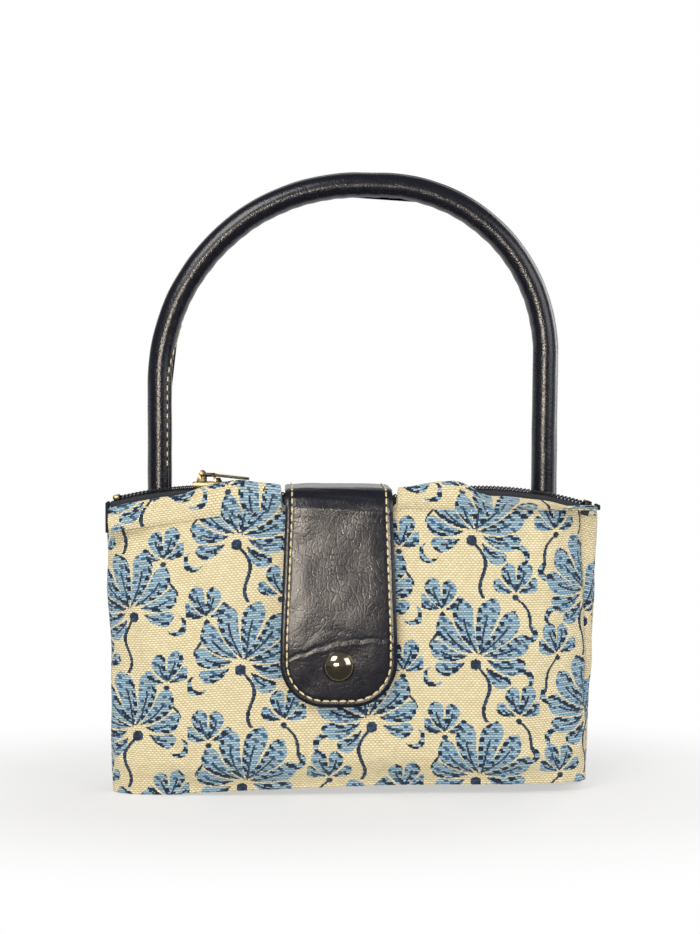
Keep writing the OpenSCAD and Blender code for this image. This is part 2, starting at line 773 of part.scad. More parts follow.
module handle_front_core() {
    color(cord_white) handle_core(handle_front_y, front_legs(), 0);
}

module handle_front_ends() {
    color(navy_leather) handle_end_places(handle_front_y, front_legs()) handle_end(0);
}

module handle_back_cover() {
    color(navy_leather) handle_cover(handle_back_y, back_legs(), back_handle_extra);
}

module handle_back_core() {
    color(cord_white) handle_core(handle_back_y, back_legs(), back_handle_extra);
}

module handle_back_ends() {
    color(navy_leather) handle_end_places(handle_back_y, back_legs()) handle_end(0);
}

folded_shopper();
front_panel();
pocket_lining();
front_band();
band_binding();
zip_tape_front();
zip_tape_back();
zip_coil_front();
zip_coil_back();
zip_top_stops();
zip_bottom_stop();
zip_slider();
zip_pull();
tab_strap_face();
tab_strap_backing();
tab_flap_face();
tab_flap_backing();
stud_cap();
stud_socket();
stud_post();
stud_rivet();
handle_front_cover();
handle_front_core();
handle_front_ends();
handle_back_cover();
handle_back_core();
handle_back_ends();
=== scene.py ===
import math
from functools import partial

import bpy
import numpy as np
from mathutils import Matrix, Vector


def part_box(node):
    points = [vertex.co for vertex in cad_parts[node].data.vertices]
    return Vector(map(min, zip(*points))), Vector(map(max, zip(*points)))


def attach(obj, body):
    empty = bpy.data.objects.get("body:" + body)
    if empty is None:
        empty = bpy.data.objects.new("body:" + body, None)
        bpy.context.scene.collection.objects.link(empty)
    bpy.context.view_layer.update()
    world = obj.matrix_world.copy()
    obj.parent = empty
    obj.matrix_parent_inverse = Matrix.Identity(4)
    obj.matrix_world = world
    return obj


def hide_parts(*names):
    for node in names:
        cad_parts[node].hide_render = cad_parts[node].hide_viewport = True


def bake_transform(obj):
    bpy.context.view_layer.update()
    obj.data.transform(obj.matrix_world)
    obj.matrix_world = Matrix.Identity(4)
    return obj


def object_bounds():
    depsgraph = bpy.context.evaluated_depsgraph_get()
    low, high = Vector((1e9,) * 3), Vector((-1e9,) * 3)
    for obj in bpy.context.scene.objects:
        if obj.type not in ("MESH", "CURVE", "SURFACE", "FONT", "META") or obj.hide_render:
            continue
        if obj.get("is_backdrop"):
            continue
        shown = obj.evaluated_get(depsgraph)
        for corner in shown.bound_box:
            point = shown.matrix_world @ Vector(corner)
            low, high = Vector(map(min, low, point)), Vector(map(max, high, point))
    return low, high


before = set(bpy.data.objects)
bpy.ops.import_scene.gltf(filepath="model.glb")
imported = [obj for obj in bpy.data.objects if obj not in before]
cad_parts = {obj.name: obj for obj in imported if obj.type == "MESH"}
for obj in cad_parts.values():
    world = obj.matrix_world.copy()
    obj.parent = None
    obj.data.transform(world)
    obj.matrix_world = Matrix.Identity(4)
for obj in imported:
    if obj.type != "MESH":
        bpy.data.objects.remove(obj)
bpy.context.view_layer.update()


# Folded shopper: the large cloth bag itself, folded flat behind its own front pocket.
# Lined tapestry cloth woven in cream and blue. Each layer is a double fold with a soft round edge,
# and the layers open a little where the sewn ends of the handles go in between them.
ZIP_R, HUMP_X, HUMP_Z, DIP_AT = 0.185, 0.066, 0.153, -0.004
DIP_Z = HUMP_Z - 2 * (ZIP_R - math.sqrt(ZIP_R**2 - (HUMP_X / 2) ** 2))
BAG_HALF = 0.120
STACK_LEFT, STACK_RIGHT, STACK_TAPER, POCKET_SIDE = -0.112, 0.1245, 0.0045, -0.1160
HANDLE_Y = {"front": 0.0025, "back": 0.0155}
HANDLE_LEGS = {"front": (-0.0955, 0.0955), "back": (-0.0965, 0.0985)}


def zip_height(x):
    side = np.abs(x - DIP_AT)
    hump = HUMP_Z - ZIP_R + np.sqrt(ZIP_R**2 - (side - HUMP_X) ** 2)
    dip = DIP_Z + ZIP_R - np.sqrt(ZIP_R**2 - np.minimum(side, HUMP_X) ** 2)
    return np.where(side >= HUMP_X / 2, hump, dip)


def ease(value):
    t = np.clip(value, 0, 1)
    return t * t * (3 - 2 * t)


def crumple(a, b, seed, wave):
    """Soft even waves in the lie of a cloth, between about -1 and 1, with the given wave length."""
    rng = np.random.default_rng(seed)
    total = np.zeros_like(a)
    for size in (1.0, 0.62, 0.38):
        for _ in range(3):
            turn, phase = rng.uniform(0, math.pi), rng.uniform(0, 2 * math.pi)
            total += size * np.sin((a * math.cos(turn) + b * math.sin(turn)) * 2 * math.pi / (wave * size) + phase)
    return total / 4


def points_of(piece):
    flat = np.empty(len(piece.data.vertices) * 3)
    piece.data.vertices.foreach_get("co", flat)
    return flat.reshape(-1, 3)


def move_points(piece, points):
    piece.data.vertices.foreach_set("co", np.ravel(points))
    piece.data.update()


def shaped_grid(name, columns, rows, place, lay_flat):
    """A grid of cloth or leather: place gives its points, lay_flat its measure in metres laid flat."""
    bpy.ops.mesh.primitive_grid_add(x_subdivisions=columns, y_subdivisions=rows, size=1)
    piece = bpy.context.object
    piece.name = name
    square = points_of(piece)
    s, t = square[:, 0] + 0.5, square[:, 1] + 0.5
    move_points(piece, np.stack(place(s, t), 1))
    mesh = piece.data
    corners = np.empty(len(mesh.loops), int)
    mesh.loops.foreach_get("vertex_index", corners)
    across, along = lay_flat(s, t)
    mesh.uv_layers.active.data.foreach_set("uv", np.stack((across[corners], along[corners]), 1).ravel())
    return piece


def work_on(*pieces):
    bpy.ops.object.select_all(action="DESELECT")
    for piece in pieces:
        piece.select_set(True)
    bpy.context.view_layer.objects.active = pieces[0]


def joined(name, pieces):
    work_on(*pieces)
    if len(pieces) > 1:
        bpy.ops.object.join()
    pieces[0].name = name
    return pieces[0]


def open_up(piece):
    """Goes to edit mode with the whole mesh selected."""
    work_on(piece)
    bpy.ops.object.mode_set(mode="EDIT")
    bpy.ops.mesh.select_all(action="SELECT")


def close_up():
    """Turns all faces outwards and leaves edit mode."""
    bpy.ops.mesh.select_all(action="SELECT")
    bpy.ops.mesh.normals_make_consistent(inside=False)
    bpy.ops.object.mode_set(mode="OBJECT")


def weld(piece, gap=1e-5, close=False):
    """Merges touching points, and closes open ends where asked."""
    open_up(piece)
    bpy.ops.mesh.remove_doubles(threshold=gap)
    if close:
        bpy.ops.mesh.fill_holes(sides=0)
    close_up()


def finish_with(piece, kind, **settings):
    """Adds one modifier and applies it."""
    work_on(piece)
    modifier = piece.modifiers.new(kind.title(), kind)
    for key, value in settings.items():
        setattr(modifier, key, value)
    bpy.ops.object.modifier_apply(modifier=modifier.name)


def round_edges(piece, width, segments, angle):
    finish_with(
        piece, "BEVEL", width=width, segments=segments, limit_method="ANGLE", angle_limit=math.radians(angle))


def smooth_faces(piece, angle):
    work_on(piece)
    bpy.ops.object.shade_smooth_by_angle(angle=math.radians(angle))


def dress(piece, material, body, slot, *nodes):
    piece.data.materials.clear()
    piece.data.materials.append(material)
    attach(piece, body)
    if nodes:
        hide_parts(*nodes)
    return piece


def handle_bump(x, z, which):
    """How much the cloth makes way for the ends of one handle, from 0 to 1."""
    bump = np.zeros_like(x)
    for leg in HANDLE_LEGS[which]:
        bump = np.maximum(bump, np.exp(-(((x - leg) / 0.0085) ** 2)))
    return bump * ease((z - 0.112) / 0.024)


# Where one layer ends and the next starts, from front to back, how far each drops below the zip, how
# far it stands in at its sides, and how far its lower fold is drawn up. The front one reaches the left
# side seam of the pocket.
LAYER_Y = (-0.0100, -0.0040, 0.0025, 0.0068, 0.0112, 0.0155, 0.0190, 0.0224)
LAYER_DROP = (0.0088, 0.0058, 0.0046, 0.0038, 0.0048, 0.0054, 0.0068)
LAYER_SIDE = (0.0200, 0.0022, 0.0010, 0.0003, 0.0006, 0.0012, 0.0026)
LAYER_LIFT = (0.0062, 0.0028, 0.0012, 0.0002, 0.0003, 0.0002, 0.0006)
LAYER_ROLL, LAYER_HALF_TALL = 0.0030, 0.0735
# How far some of the faces between layers make way for a handle, on their near and on their far side.
LAYER_WAY = {
    2: (("front", -0.0050, 0.0058),),
    3: (("front", 0.0034, 0.0034),),
    4: (("front", 0.0012, 0.0012), ("back", -0.0040, -0.0040)),
    5: (("back", -0.0052, 0.0046),),
    6: (("back", 0.0020, 0.0020),),
}


def layer_face(index, x, z, after):
    """Depth of the face between two layers, on its near or its far side."""
    depth = LAYER_Y[index] + 0.0005 * crumple(x, z, 19 + index, 0.085)
    if index == 1:
        depth = depth + 0.0004
    if index == len(LAYER_Y) - 1:
        depth = depth + 0.0009 * crumple(x, z, 61, 0.12) - 0.0006
    for which, near, far in LAYER_WAY.get(index, ()):
        depth = depth + (far if after else near) * handle_bump(x, z, which)
    return depth


def layer_sheet(index, back):
    """Front or back half of one folded layer, rolled round at its rim."""
    roll = LAYER_ROLL
    left = POCKET_SIDE if index == 0 else STACK_LEFT + LAYER_SIDE[index]
    right = STACK_RIGHT - LAYER_SIDE[index]
    half_w, half_h = (right - left) / 2, LAYER_HALF_TALL
    inner_w, inner_h, reach = half_w - roll, half_h - roll, roll * math.pi / 2

    def place(s, t):
        a, b = (2 * s - 1) * (inner_w + reach), (2 * t - 1) * (inner_h + reach)
        over_a, over_b = np.maximum(np.abs(a) - inner_w, 0), np.maximum(np.abs(b) - inner_h, 0)
        out = np.maximum(over_a, over_b)
        far = np.maximum(np.hypot(over_a, over_b), 1e-9)
        turn = out / roll
        plan_a = np.sign(a) * (np.minimum(np.abs(a), inner_w) + over_a / far * roll * np.sin(turn))
        plan_b = np.sign(b) * (np.minimum(np.abs(b), inner_h) + over_b / far * roll * np.sin(turn))
        up = (plan_b + half_h) / (2 * half_h)
        x = (left + right) / 2 + plan_a
        x = x - STACK_TAPER * ease(plan_a / half_w) * (1 - up)
        x = x + 0.0009 * crumple(plan_b, plan_a * 0.3, 39 + index, 0.07) * np.abs(plan_a / half_w) ** 3
        crown = zip_height(np.clip(x, -BAG_HALF, BAG_HALF)) - LAYER_DROP[index]
        crown = crown + 0.0012 * crumple(x, x * 0, 79 + index, 0.09)
        z = np.maximum(LAYER_LIFT[index] + up * (crown - LAYER_LIFT[index]), 0.0002)
        near, far_face = layer_face(index, x, z, True), layer_face(index + 1, x, z, False)
        mid, thick = (near + far_face) / 2, np.maximum((far_face - near) / 2 - 0.0001, 0.0002)
        y = mid + (thick if back else -thick) * np.cos(np.minimum(turn, math.pi / 2))
        return x, y, z

    def lay_flat(s, t):
        wide, tall = 2 * (inner_w + reach), 2 * (inner_h + reach)
        return (s * (-wide if back else wide) + 0.031 * index, t * tall + 0.017 * index)

    return shaped_grid("folded_layer", 84, 54, place, lay_flat)


layer_pieces = [layer_sheet(index, back) for index in range(len(LAYER_DROP)) for back in (False, True)]
folded_cloth = joined("folded_cloth", layer_pieces)
weld(folded_cloth)
smooth_faces(folded_cloth, 70)


def plug(tree, value, socket):
    """Links a socket to another one, or sets it to a value."""
    if isinstance(value, bpy.types.NodeSocket):
        tree.links.new(value, socket)
    else:
        socket.default_value = value


def add_node(tree, kind, sockets=None, **settings):
    node = tree.nodes.new(kind)
    for key, value in settings.items():
        setattr(node, key, value)
    for key, value in (sockets or {}).items():
        plug(tree, value, node.inputs[key])
    return node


SIGNS = {"+": "ADD", "-": "SUBTRACT", "*": "MULTIPLY", "/": "DIVIDE", "<": "LESS_THAN", ">": "GREATER_THAN"}


def reckon(tree, sign, a, b=0.0, c=0.0):
    return add_node(tree, "ShaderNodeMath", {0: a, 1: b, 2: c}, operation=SIGNS.get(sign, sign)).outputs[0]


def split(tree, vector):
    return add_node(tree, "ShaderNodeSeparateXYZ", {0: vector}).outputs


def pair(tree, x, y):
    return add_node(tree, "ShaderNodeCombineXYZ", {0: x, 1: y}).outputs[0]


def blend_colour(tree, share, a, b, way="MIX"):
    node = add_node(tree, "ShaderNodeMix", {"Factor": share, 6: a, 7: b}, data_type="RGBA", blend_type=way)
    return node.outputs[2]


def colour(code):
    """Linear colour of a hex code."""
    parts = [int(code[i : i + 2], 16) / 255 for i in (1, 3, 5)]
    return tuple(p / 12.92 if p <= 0.04045 else ((p + 0.055) / 1.055) ** 2.4 for p in parts) + (1.0,)


def new_group(name, inputs, outputs):
    """Shader node group with its sockets, each given as (name, kind)."""
    group = bpy.data.node_groups.new(name, "ShaderNodeTree")
    for way, sockets in (("INPUT", inputs), ("OUTPUT", outputs)):
        for socket_name, kind in sockets:
            group.interface.new_socket(socket_name, in_out=way, socket_type=f"NodeSocket{kind}")
    return group, group.nodes.new("NodeGroupInput"), group.nodes.new("NodeGroupOutput")


def group_gives(group, group_out, sources):
    for socket_name, source in sources.items():
        plug(group, source, group_out.inputs[socket_name])


def place_group(tree, group, sockets):
    return add_node(tree, "ShaderNodeGroup", sockets, node_tree=group)


def new_material(name):
    material = bpy.data.materials.new(name)
    material.use_nodes = True
    return material, material.node_tree


def shade(tree, sockets):
    """Sets or links sockets of the material's own shader."""
    for key, value in sockets.items():
        plug(tree, value, tree.nodes["Principled BSDF"].inputs[key])


def raised(tree, height, strength, distance):
    bump = add_node(tree, "ShaderNodeBump", {"Height": height, "Strength": strength, "Distance": distance})
    return bump.outputs[0]


# Weave: short floats of yarn in brick bond. It gives the place of each thread in millimetres, so that
# a drawn design steps from thread to thread as a loom makes it, and the rise of the yarn.
weave_group, weave_in, weave_out = new_group(
    "yarn_floats",
    [("Cloth", "Vector"), ("Float Length", "Float"), ("Float Height", "Float")],
    [("Place", "Vector"), ("Rise", "Float"), ("Ridge", "Float"),
     ("Chance", "Float"), ("Column", "Float"), ("Row", "Float")],
)
weave_sum = partial(reckon, weave_group)
float_long, float_high = weave_in.outputs["Float Length"], weave_in.outputs["Float Height"]
cloth_x, cloth_y, _ = split(weave_group, weave_in.outputs["Cloth"])
warp = weave_sum("/", weave_sum("*", cloth_x, 1000), float_long)
weft = weave_sum("/", weave_sum("*", cloth_y, 1000), float_high)
weft_row = weave_sum("FLOOR", weft)
bond = weave_sum("*", weave_sum("MODULO", weave_sum("ABSOLUTE", weft_row), 2), 0.5)
shifted = weave_sum("+", warp, bond)
warp_column = weave_sum("FLOOR", shifted)
float_x = weave_sum("-", weave_sum("FRACT", shifted), 0.5)
float_y = weave_sum("-", weave_sum("FRACT", weft), 0.5)
thread = weave_sum("FLOOR", weave_sum("*", warp, 4))
place_x = weave_sum("*", weave_sum("/", weave_sum("+", thread, 0.5), 4), float_long)
half_row = weave_sum("FLOOR", weave_sum("*", weft, 2))
place_y = weave_sum("*", weave_sum("MULTIPLY_ADD", half_row, 0.5, 0.25), float_high)
round_y = weave_sum("-", 1.0, weave_sum("*", weave_sum("POWER", weave_sum("ABSOLUTE", float_y), 2), 4))
round_x = weave_sum("-", 1.0, weave_sum("*", weave_sum("*", float_x, float_x), 3.0))
cell = pair(weave_group, warp_column, weft_row)
chance = add_node(weave_group, "ShaderNodeTexWhiteNoise", {"Vector": cell}, noise_dimensions="2D")
group_gives(weave_group, weave_out, {
    "Place": pair(weave_group, place_x, place_y), "Rise": weave_sum("*", round_x, round_y), "Ridge": round_y,
    "Chance": chance.outputs[0], "Column": warp_column, "Row": weft_row,
})

# One petal of the woven design: its body, its middle line and its shaded side, in millimetres.
# The design repeats upwards, so a petal may cross the edge of its repeat.
REPEAT_W, REPEAT_H = 57.0, 64.0
petal_group, petal_in, petal_out = new_group(
    "woven_petal",
    [("Place", "Vector"), ("Centre", "Vector"), ("Turn", "Float"),
     ("Length", "Float"), ("Width", "Float"), ("Curl", "Float")],
    [("Body", "Float"), ("Line", "Float"), ("Shade", "Float")],
)
petal_sum = partial(reckon, petal_group)
petal_off = add_node(
    petal_group, "ShaderNodeVectorMath", {0: petal_in.outputs["Place"], 1: petal_in.outputs["Centre"]},
    operation="SUBTRACT")
off_x, off_y, _ = split(petal_group, petal_off.outputs[0])
petal_from = pair(petal_group, off_x, petal_sum("WRAP", off_y, REPEAT_H / 2, -REPEAT_H / 2))
petal_angle = petal_sum("*", petal_in.outputs["Turn"], -1)
petal_turn = add_node(
    petal_group, "ShaderNodeVectorRotate", {"Vector": petal_from, "Angle": petal_angle},
    rotation_type="Z_AXIS")
petal_x, petal_side, _ = split(petal_group, petal_turn.outputs[0])
petal_t = petal_sum("/", petal_x, petal_sum("*", petal_in.outputs["Length"], 0.5))
petal_t2 = petal_sum("*", petal_t, petal_t)
petal_y = petal_sum("-", petal_side, petal_sum("*", petal_in.outputs["Curl"], petal_t2))
petal_aside = petal_sum("ABSOLUTE", petal_y)
petal_round = petal_sum("-", 1.0, petal_sum("*", petal_t2, petal_t2))
petal_taper = petal_sum("*", petal_round, petal_sum("MULTIPLY_ADD", petal_t, 0.38, 0.62))
petal_half = petal_sum("*", petal_taper, petal_sum("*", petal_in.outputs["Width"], 0.64))
petal_rim = petal_sum("-", petal_half, petal_aside)
petal_body = petal_sum("*", petal_sum(">", petal_rim, 0.0), petal_sum("<", petal_t2, 1.0))
petal_inner = petal_sum("*", petal_body, petal_sum("<", petal_t, 0.35))
petal_line = petal_sum("*", petal_inner, petal_sum("<", petal_aside, 0.5))
petal_edge = petal_sum("*", petal_sum("<", petal_rim, 2.3), petal_sum("<", petal_y, 0.0))
petal_shade = petal_sum("*", petal_body, petal_edge)
group_gives(petal_group, petal_out, {"Body": petal_body, "Line": petal_line, "Shade": petal_shade})

# Woven design in half drop: fan-shaped blossoms on short waving stems, with small buds and curls
# between them, drawn in millimetres on the floats.
design_group, design_in, design_out = new_group(
    "fan_blossoms", [("Place", "Vector")],
    [("Petal", "Float"), ("Line", "Float"), ("Shade", "Float"), ("Stem", "Float")],
)
design_sum = partial(reckon, design_group)
spot_x, spot_y, _ = split(design_group, design_in.outputs["Place"])
strip = design_sum("FLOOR", design_sum("/", spot_x, REPEAT_W))
odd = design_sum("MODULO", design_sum("ABSOLUTE", strip), 2)
from_middle = design_sum("-", spot_x, design_sum("*", design_sum("+", strip, 0.5), REPEAT_W))
mirror_way = design_sum("-", 1.0, design_sum("*", odd, 2))
tile_x = design_sum("*", from_middle, mirror_way)
dropped = design_sum("+", spot_y, design_sum("*", odd, REPEAT_H / 2))
tile_y = design_sum("WRAP", dropped, REPEAT_H / 2, -REPEAT_H / 2)
tile_place = pair(design_group, tile_x, tile_y)


def round_spot(x, y, size):
    """Mask of a disc in the repeat, also where it crosses the edge of its repeat."""
    off_y = design_sum("WRAP", design_sum("-", tile_y, y), REPEAT_H / 2, -REPEAT_H / 2)
    off = pair(design_group, design_sum("-", tile_x, x), off_y)
    far = add_node(design_group, "ShaderNodeVectorMath", {0: off}, operation="LENGTH").outputs[1]
    return design_sum("<", far, size)


def joined_mask(mask, other):
    return other if mask is None else design_sum("MAXIMUM", mask, other)


# Each fan: foot of its petals, way it leans, how far off the petals start, then the petals as turn from
# that way, length, width and curl.
FANS = (
    ((3.0, -21.0), 104, 5.0, (
        (0, 31, 11, 1.5), (27, 29, 10.5, -2.5), (-27, 29, 10.5, 2.5), (54, 25, 10, -3), (-54, 25, 10, 3),
        (83, 19.5, 9, -3), (-83, 19.5, 9, 3), (114, 15, 8, -2), (-114, 15, 8, 2))),
    ((18.5, 5.0), 72, 2.6, ((0, 17, 8, 1), (36, 15.5, 7.5, -1.5), (-36, 12, 6.5, 1.5), (76, 11, 6, -1.5))),
    ((-17.5, 13.5), 112, 2.6, ((0, 17, 8, -1), (-36, 15.5, 7.5, 1.5), (36, 12, 6.5, -1.5), (-76, 11, 6, 1.5))),
)
# Waving stem down from the foot of each fan: lean, width, length and phase of its wave, its own length and
# its half width.
STEMS = ((0.22, 3.2, 33, 0.3, 30, 0.9), (-0.30, 1.5, 20, 0.0, 17, 0.8), (0.55, 2.0, 24, 0.0, 21, 0.8))
# Curls, a disc less another one: middle, size, size of the other and how far it lies off.
CURLS = (
    (-23.0, -5.5, 5.0, 4.5, 1.8, 1.8), (24.0, -27.5, 5.2, 4.6, -1.9, 1.6), (-20.0, -29.0, 5.6, 5.0, 2.0, -1.6),
)
masks = dict.fromkeys(("Body", "Line", "Shade", "Stem"))
for (foot_x, foot_y), lean, start, petals in FANS:
    masks["Stem"] = joined_mask(masks["Stem"], round_spot(foot_x, foot_y, start * 0.55))
    for turn, length, width, curl in petals:
        way, off = math.radians(lean + turn), length / 2 + start
        petal = place_group(design_group, petal_group, {
            "Place": tile_place, "Centre": (foot_x + off * math.cos(way), foot_y + off * math.sin(way), 0),
            "Turn": way, "Length": length, "Width": width, "Curl": curl})
        for key in ("Body", "Line", "Shade"):
            masks[key] = joined_mask(masks[key], petal.outputs[key])
for ((foot_x, foot_y), *_), (lean, sway, wave, phase, length, half) in zip(FANS, STEMS):
    down = design_sum("WRAP", design_sum("-", tile_y, foot_y), 0.0, -REPEAT_H)
    swing = design_sum("SINE", design_sum("MULTIPLY_ADD", down, 2 * math.pi / wave, phase))
    swing_x = design_sum("MULTIPLY_ADD", swing, sway, foot_x - sway * math.sin(phase))
    line_x = design_sum("MULTIPLY_ADD", down, lean, swing_x)
    near_line = design_sum("<", design_sum("ABSOLUTE", design_sum("-", tile_x, line_x)), half)
    stem = design_sum("*", near_line, design_sum(">", down, -length))
    masks["Stem"] = joined_mask(masks["Stem"], stem)
for curl_x, curl_y, outer, inner, aside, above in CURLS:
    hollow = design_sum("-", 1.0, round_spot(curl_x + aside, curl_y + above, inner))
    curl = design_sum("*", round_spot(curl_x, curl_y, outer), hollow)
    masks["Shade"] = joined_mask(masks["Shade"], curl)
group_gives(design_group, design_out, {
    "Petal": masks["Body"], "Line": masks["Line"], "Shade": masks["Shade"], "Stem": masks["Stem"]})

tapestry, nt = new_material("tapestry_cloth")
cloth_sum, cloth_blend = partial(reckon, nt), partial(blend_colour, nt)
cloth_uv = add_node(nt, "ShaderNodeUVMap", uv_map="UVMap")
weave = place_group(nt, weave_group, {"Cloth": cloth_uv.outputs[0], "Float Length": 2.0, "Float Height": 1.2})
design = place_group(nt, design_group, {"Place": weave.outputs["Place"]})
lot = weave.outputs["Chance"]
cream = cloth_blend(lot, colour("#f7efd0"), colour("#ece2bd"))
# Painted shade: the blue floats are painted darker towards the gaps between their rows.
ridge_gap = cloth_sum("-", 1.0, cloth_sum("*", weave.outputs["Ridge"], 1.9))
painted_gap_shade = add_node(nt, "ShaderNodeClamp", {0: cloth_sum("*", ridge_gap, 0.85)}).outputs[0]
twill = cloth_sum("MODULO", cloth_sum("ABSOLUTE", cloth_sum("+", weave.outputs["Column"], weave.outputs["Row"])), 4)
row_odd = cloth_sum("MODULO", cloth_sum("ABSOLUTE", weave.outputs["Row"]), 2)
petal_blue = cloth_blend(lot, colour("#80acd2"), colour("#9ac0dc"))
petal_blue = cloth_blend(cloth_sum("*", row_odd, 0.6), petal_blue, colour("#c6deea"))
petal_dash = cloth_sum("*", cloth_sum("<", twill, 0.5), cloth_sum(">", lot, 0.35))
petal_blue = cloth_blend(petal_dash, petal_blue, colour("#466a92"))
petal_blue = cloth_blend(painted_gap_shade, petal_blue, colour("#2b4260"))
shade_blue = cloth_blend(cloth_sum("<", twill, 1.5), petal_blue, colour("#213049"))
navy = cloth_blend(lot, colour("#1e2b43"), colour("#3d5676"))
cloth_colour = cloth_blend(design.outputs["Stem"], cream, navy)
cloth_colour = cloth_blend(design.outputs["Petal"], cloth_colour, petal_blue)
cloth_colour = cloth_blend(design.outputs["Shade"], cloth_colour, shade_blue)
cloth_colour = cloth_blend(design.outputs["Line"], cloth_colour, navy)
yarn_light = cloth_blend(weave.outputs["Rise"], (0.55, 0.49, 0.39, 1), (1.06, 1.06, 1.05, 1))
shaded = cloth_blend(1.0, cloth_colour, yarn_light, way="MULTIPLY")
shade(nt, {
    "Base Color": shaded, "Roughness": cloth_sum("MULTIPLY_ADD", lot, 0.12, 0.76), "Specular IOR Level": 0.25,
    "Sheen Weight": 0.12, "Normal": raised(nt, weave.outputs["Rise"], 0.8, 0.0004)})
dress(folded_cloth, tapestry, "bag", "tapestry", "folded_shopper")


# Front pocket: the panel of tapestry that the shopper folds into. It swells between its side seams,
# and its lower edge is drawn up a little towards the right.
ZIP_Y = -0.011
SIDE_SEAM_Y = -0.0052
POCKET_DEPTH = 0.0175
TAB_X = -0.0075
POCKET_COLUMNS, POCKET_ROWS, SEWN_ROWS = 120, 68, 2


def lengths_along(points):
    """Length of a line from its start to each of its points."""
    return np.concatenate(([0], np.cumsum(np.hypot(*np.diff(points, axis=0).T))))


def seam_height(x):
    return 0.142 - 0.0115 * np.clip(-(x + 0.025) / (BAG_HALF - 0.025), 0, 1) ** 1.5


def hem_height(x):
    return 0.005 * np.clip((x + 0.088) / 0.110, 0, 1) ** 0.6


def pocket_point(u, v):
    left = -0.1188 - 0.0022 * ease((v - 0.5) / 0.35)
    right = 0.1132 + 0.005 * (1 - v)
    depth = POCKET_DEPTH * (0.6 + 0.4 * ease(v / 0.14)) * (1 - 0.15 * ease((v - 0.55) / 0.45))
    across = 2 * u - 1
    section = np.sqrt(np.maximum(0, 1 - np.abs(across) ** 6))
    x = (left + right) / 2 + across * (right - left) / 2
    z = hem_height(x) * (1 - v) + v * seam_height(x)
    return x, SIDE_SEAM_Y + 0.0008 - depth * section, z


dense_u = np.linspace(0, 1, 4001)
section_x, section_y, _ = pocket_point(dense_u, np.full_like(dense_u, 0.5))
girth = lengths_along(np.stack((section_x, section_y), 1))


def pocket_place(s, t):
    u = np.interp(s * girth[-1], girth, dense_u)
    x, y, z = pocket_point(u, t)
    face = np.sqrt(np.maximum(0, 1 - np.abs(2 * u - 1) ** 6))
    away_from_tab = 1 - 0.75 * np.exp(-(((x - TAB_X) / 0.034) ** 2)) * ease((z - 0.03) / 0.02)
    wave = 0.0009 * crumple(x, z, 5, 0.105) + 0.0003 * crumple(x, z, 9, 0.034)
    gather = 0.0005 * np.sin(x * 2 * math.pi / 0.0125 + 1.5 * np.sin(x * 61)) * np.exp(-(seam_height(x) - z) / 0.011)
    drawn = -0.0010 * np.exp(-(((x - TAB_X - 0.038) / 0.012) ** 2 + ((z - 0.072) / 0.03) ** 2))
    drawn = drawn - 0.0010 * np.exp(-(((x - TAB_X + 0.040) / 0.012) ** 2 + ((z - 0.100) / 0.035) ** 2))
    y = y - face * ((wave + drawn) * away_from_tab + gather)
    x = x + 0.0008 * crumple(z, x * 0.2, 12, 0.06) * (1 - face) * np.sign(x)
    return x, y, np.maximum(z, 0.0003)


front_pocket = shaped_grid(
    "front_pocket", POCKET_COLUMNS, POCKET_ROWS, pocket_place,
    lambda s, t: (s * girth[-1] + 0.012, t * 0.146 + 0.009))
CLOTH = {
    "quality": 6, "mass": 0.2, "tension_stiffness": 30, "compression_stiffness": 30, "shear_stiffness": 10,
    "bending_stiffness": 0.4, "shrink_min": -0.012, "use_pressure": True, "uniform_pressure_force": 5.0,
}


def settle(piece, held, free, reach, frames=24):
    """Lets cloth settle under light filling and its own weight. Held points stay where they are sewn,
    and each point moves outwards by its free share, at most the given reach."""
    before = points_of(piece)
    seams = piece.vertex_groups.new(name="seams")
    for index in np.flatnonzero(held):
        seams.add([int(index)], 1.0, "REPLACE")
    work_on(piece)
    cloth = piece.modifiers.new("Cloth", "CLOTH")
    for key, value in CLOTH.items():
        setattr(cloth.settings, key, value)
    cloth.settings.vertex_group_mass = seams.name
    cloth.settings.effector_weights.gravity = 0.1
    cloth.point_cache.frame_start, cloth.point_cache.frame_end = 1, frames
    for step in range(1, frames + 1):
        bpy.context.scene.frame_set(step)
    bpy.ops.object.modifier_apply(modifier=cloth.name)
    bpy.context.scene.frame_set(1)
    move = points_of(piece) - before
    move[:, 1] = np.minimum(move[:, 1], 0.0002)
    far = np.maximum(np.linalg.norm(move, axis=1), 1e-9)
    move *= (free * reach * np.tanh(far / reach) / far)[:, None]
    move_points(piece, before + move)
    piece.vertex_groups.clear()


pocket_x, _, pocket_z = points_of(front_pocket).T
columns, rows = np.meshgrid(np.arange(POCKET_COLUMNS + 1), np.arange(POCKET_ROWS + 1))
sewn = (columns < SEWN_ROWS) | (columns > POCKET_COLUMNS - SEWN_ROWS)
sewn = (sewn | (rows < SEWN_ROWS) | (rows > POCKET_ROWS - SEWN_ROWS)).ravel()
under_tab = np.exp(-(((pocket_x - TAB_X) / 0.030) ** 6)) * ease((pocket_z - 0.036) / 0.012)
near_hem = 1 - ease((pocket_z - hem_height(pocket_x)) / 0.018)
settle(front_pocket, sewn, (1 - 0.8 * under_tab) * (1 - 0.7 * near_hem), 0.0030)
finish_with(front_pocket, "SUBSURF", levels=1, render_levels=1)
finish_with(front_pocket, "SOLIDIFY", thickness=0.0016, offset=-1)
round_edges(front_pocket, 0.0005, 2, 60)
smooth_faces(front_pocket, 60)
dress(front_pocket, tapestry, "bag", "tapestry", "front_panel")


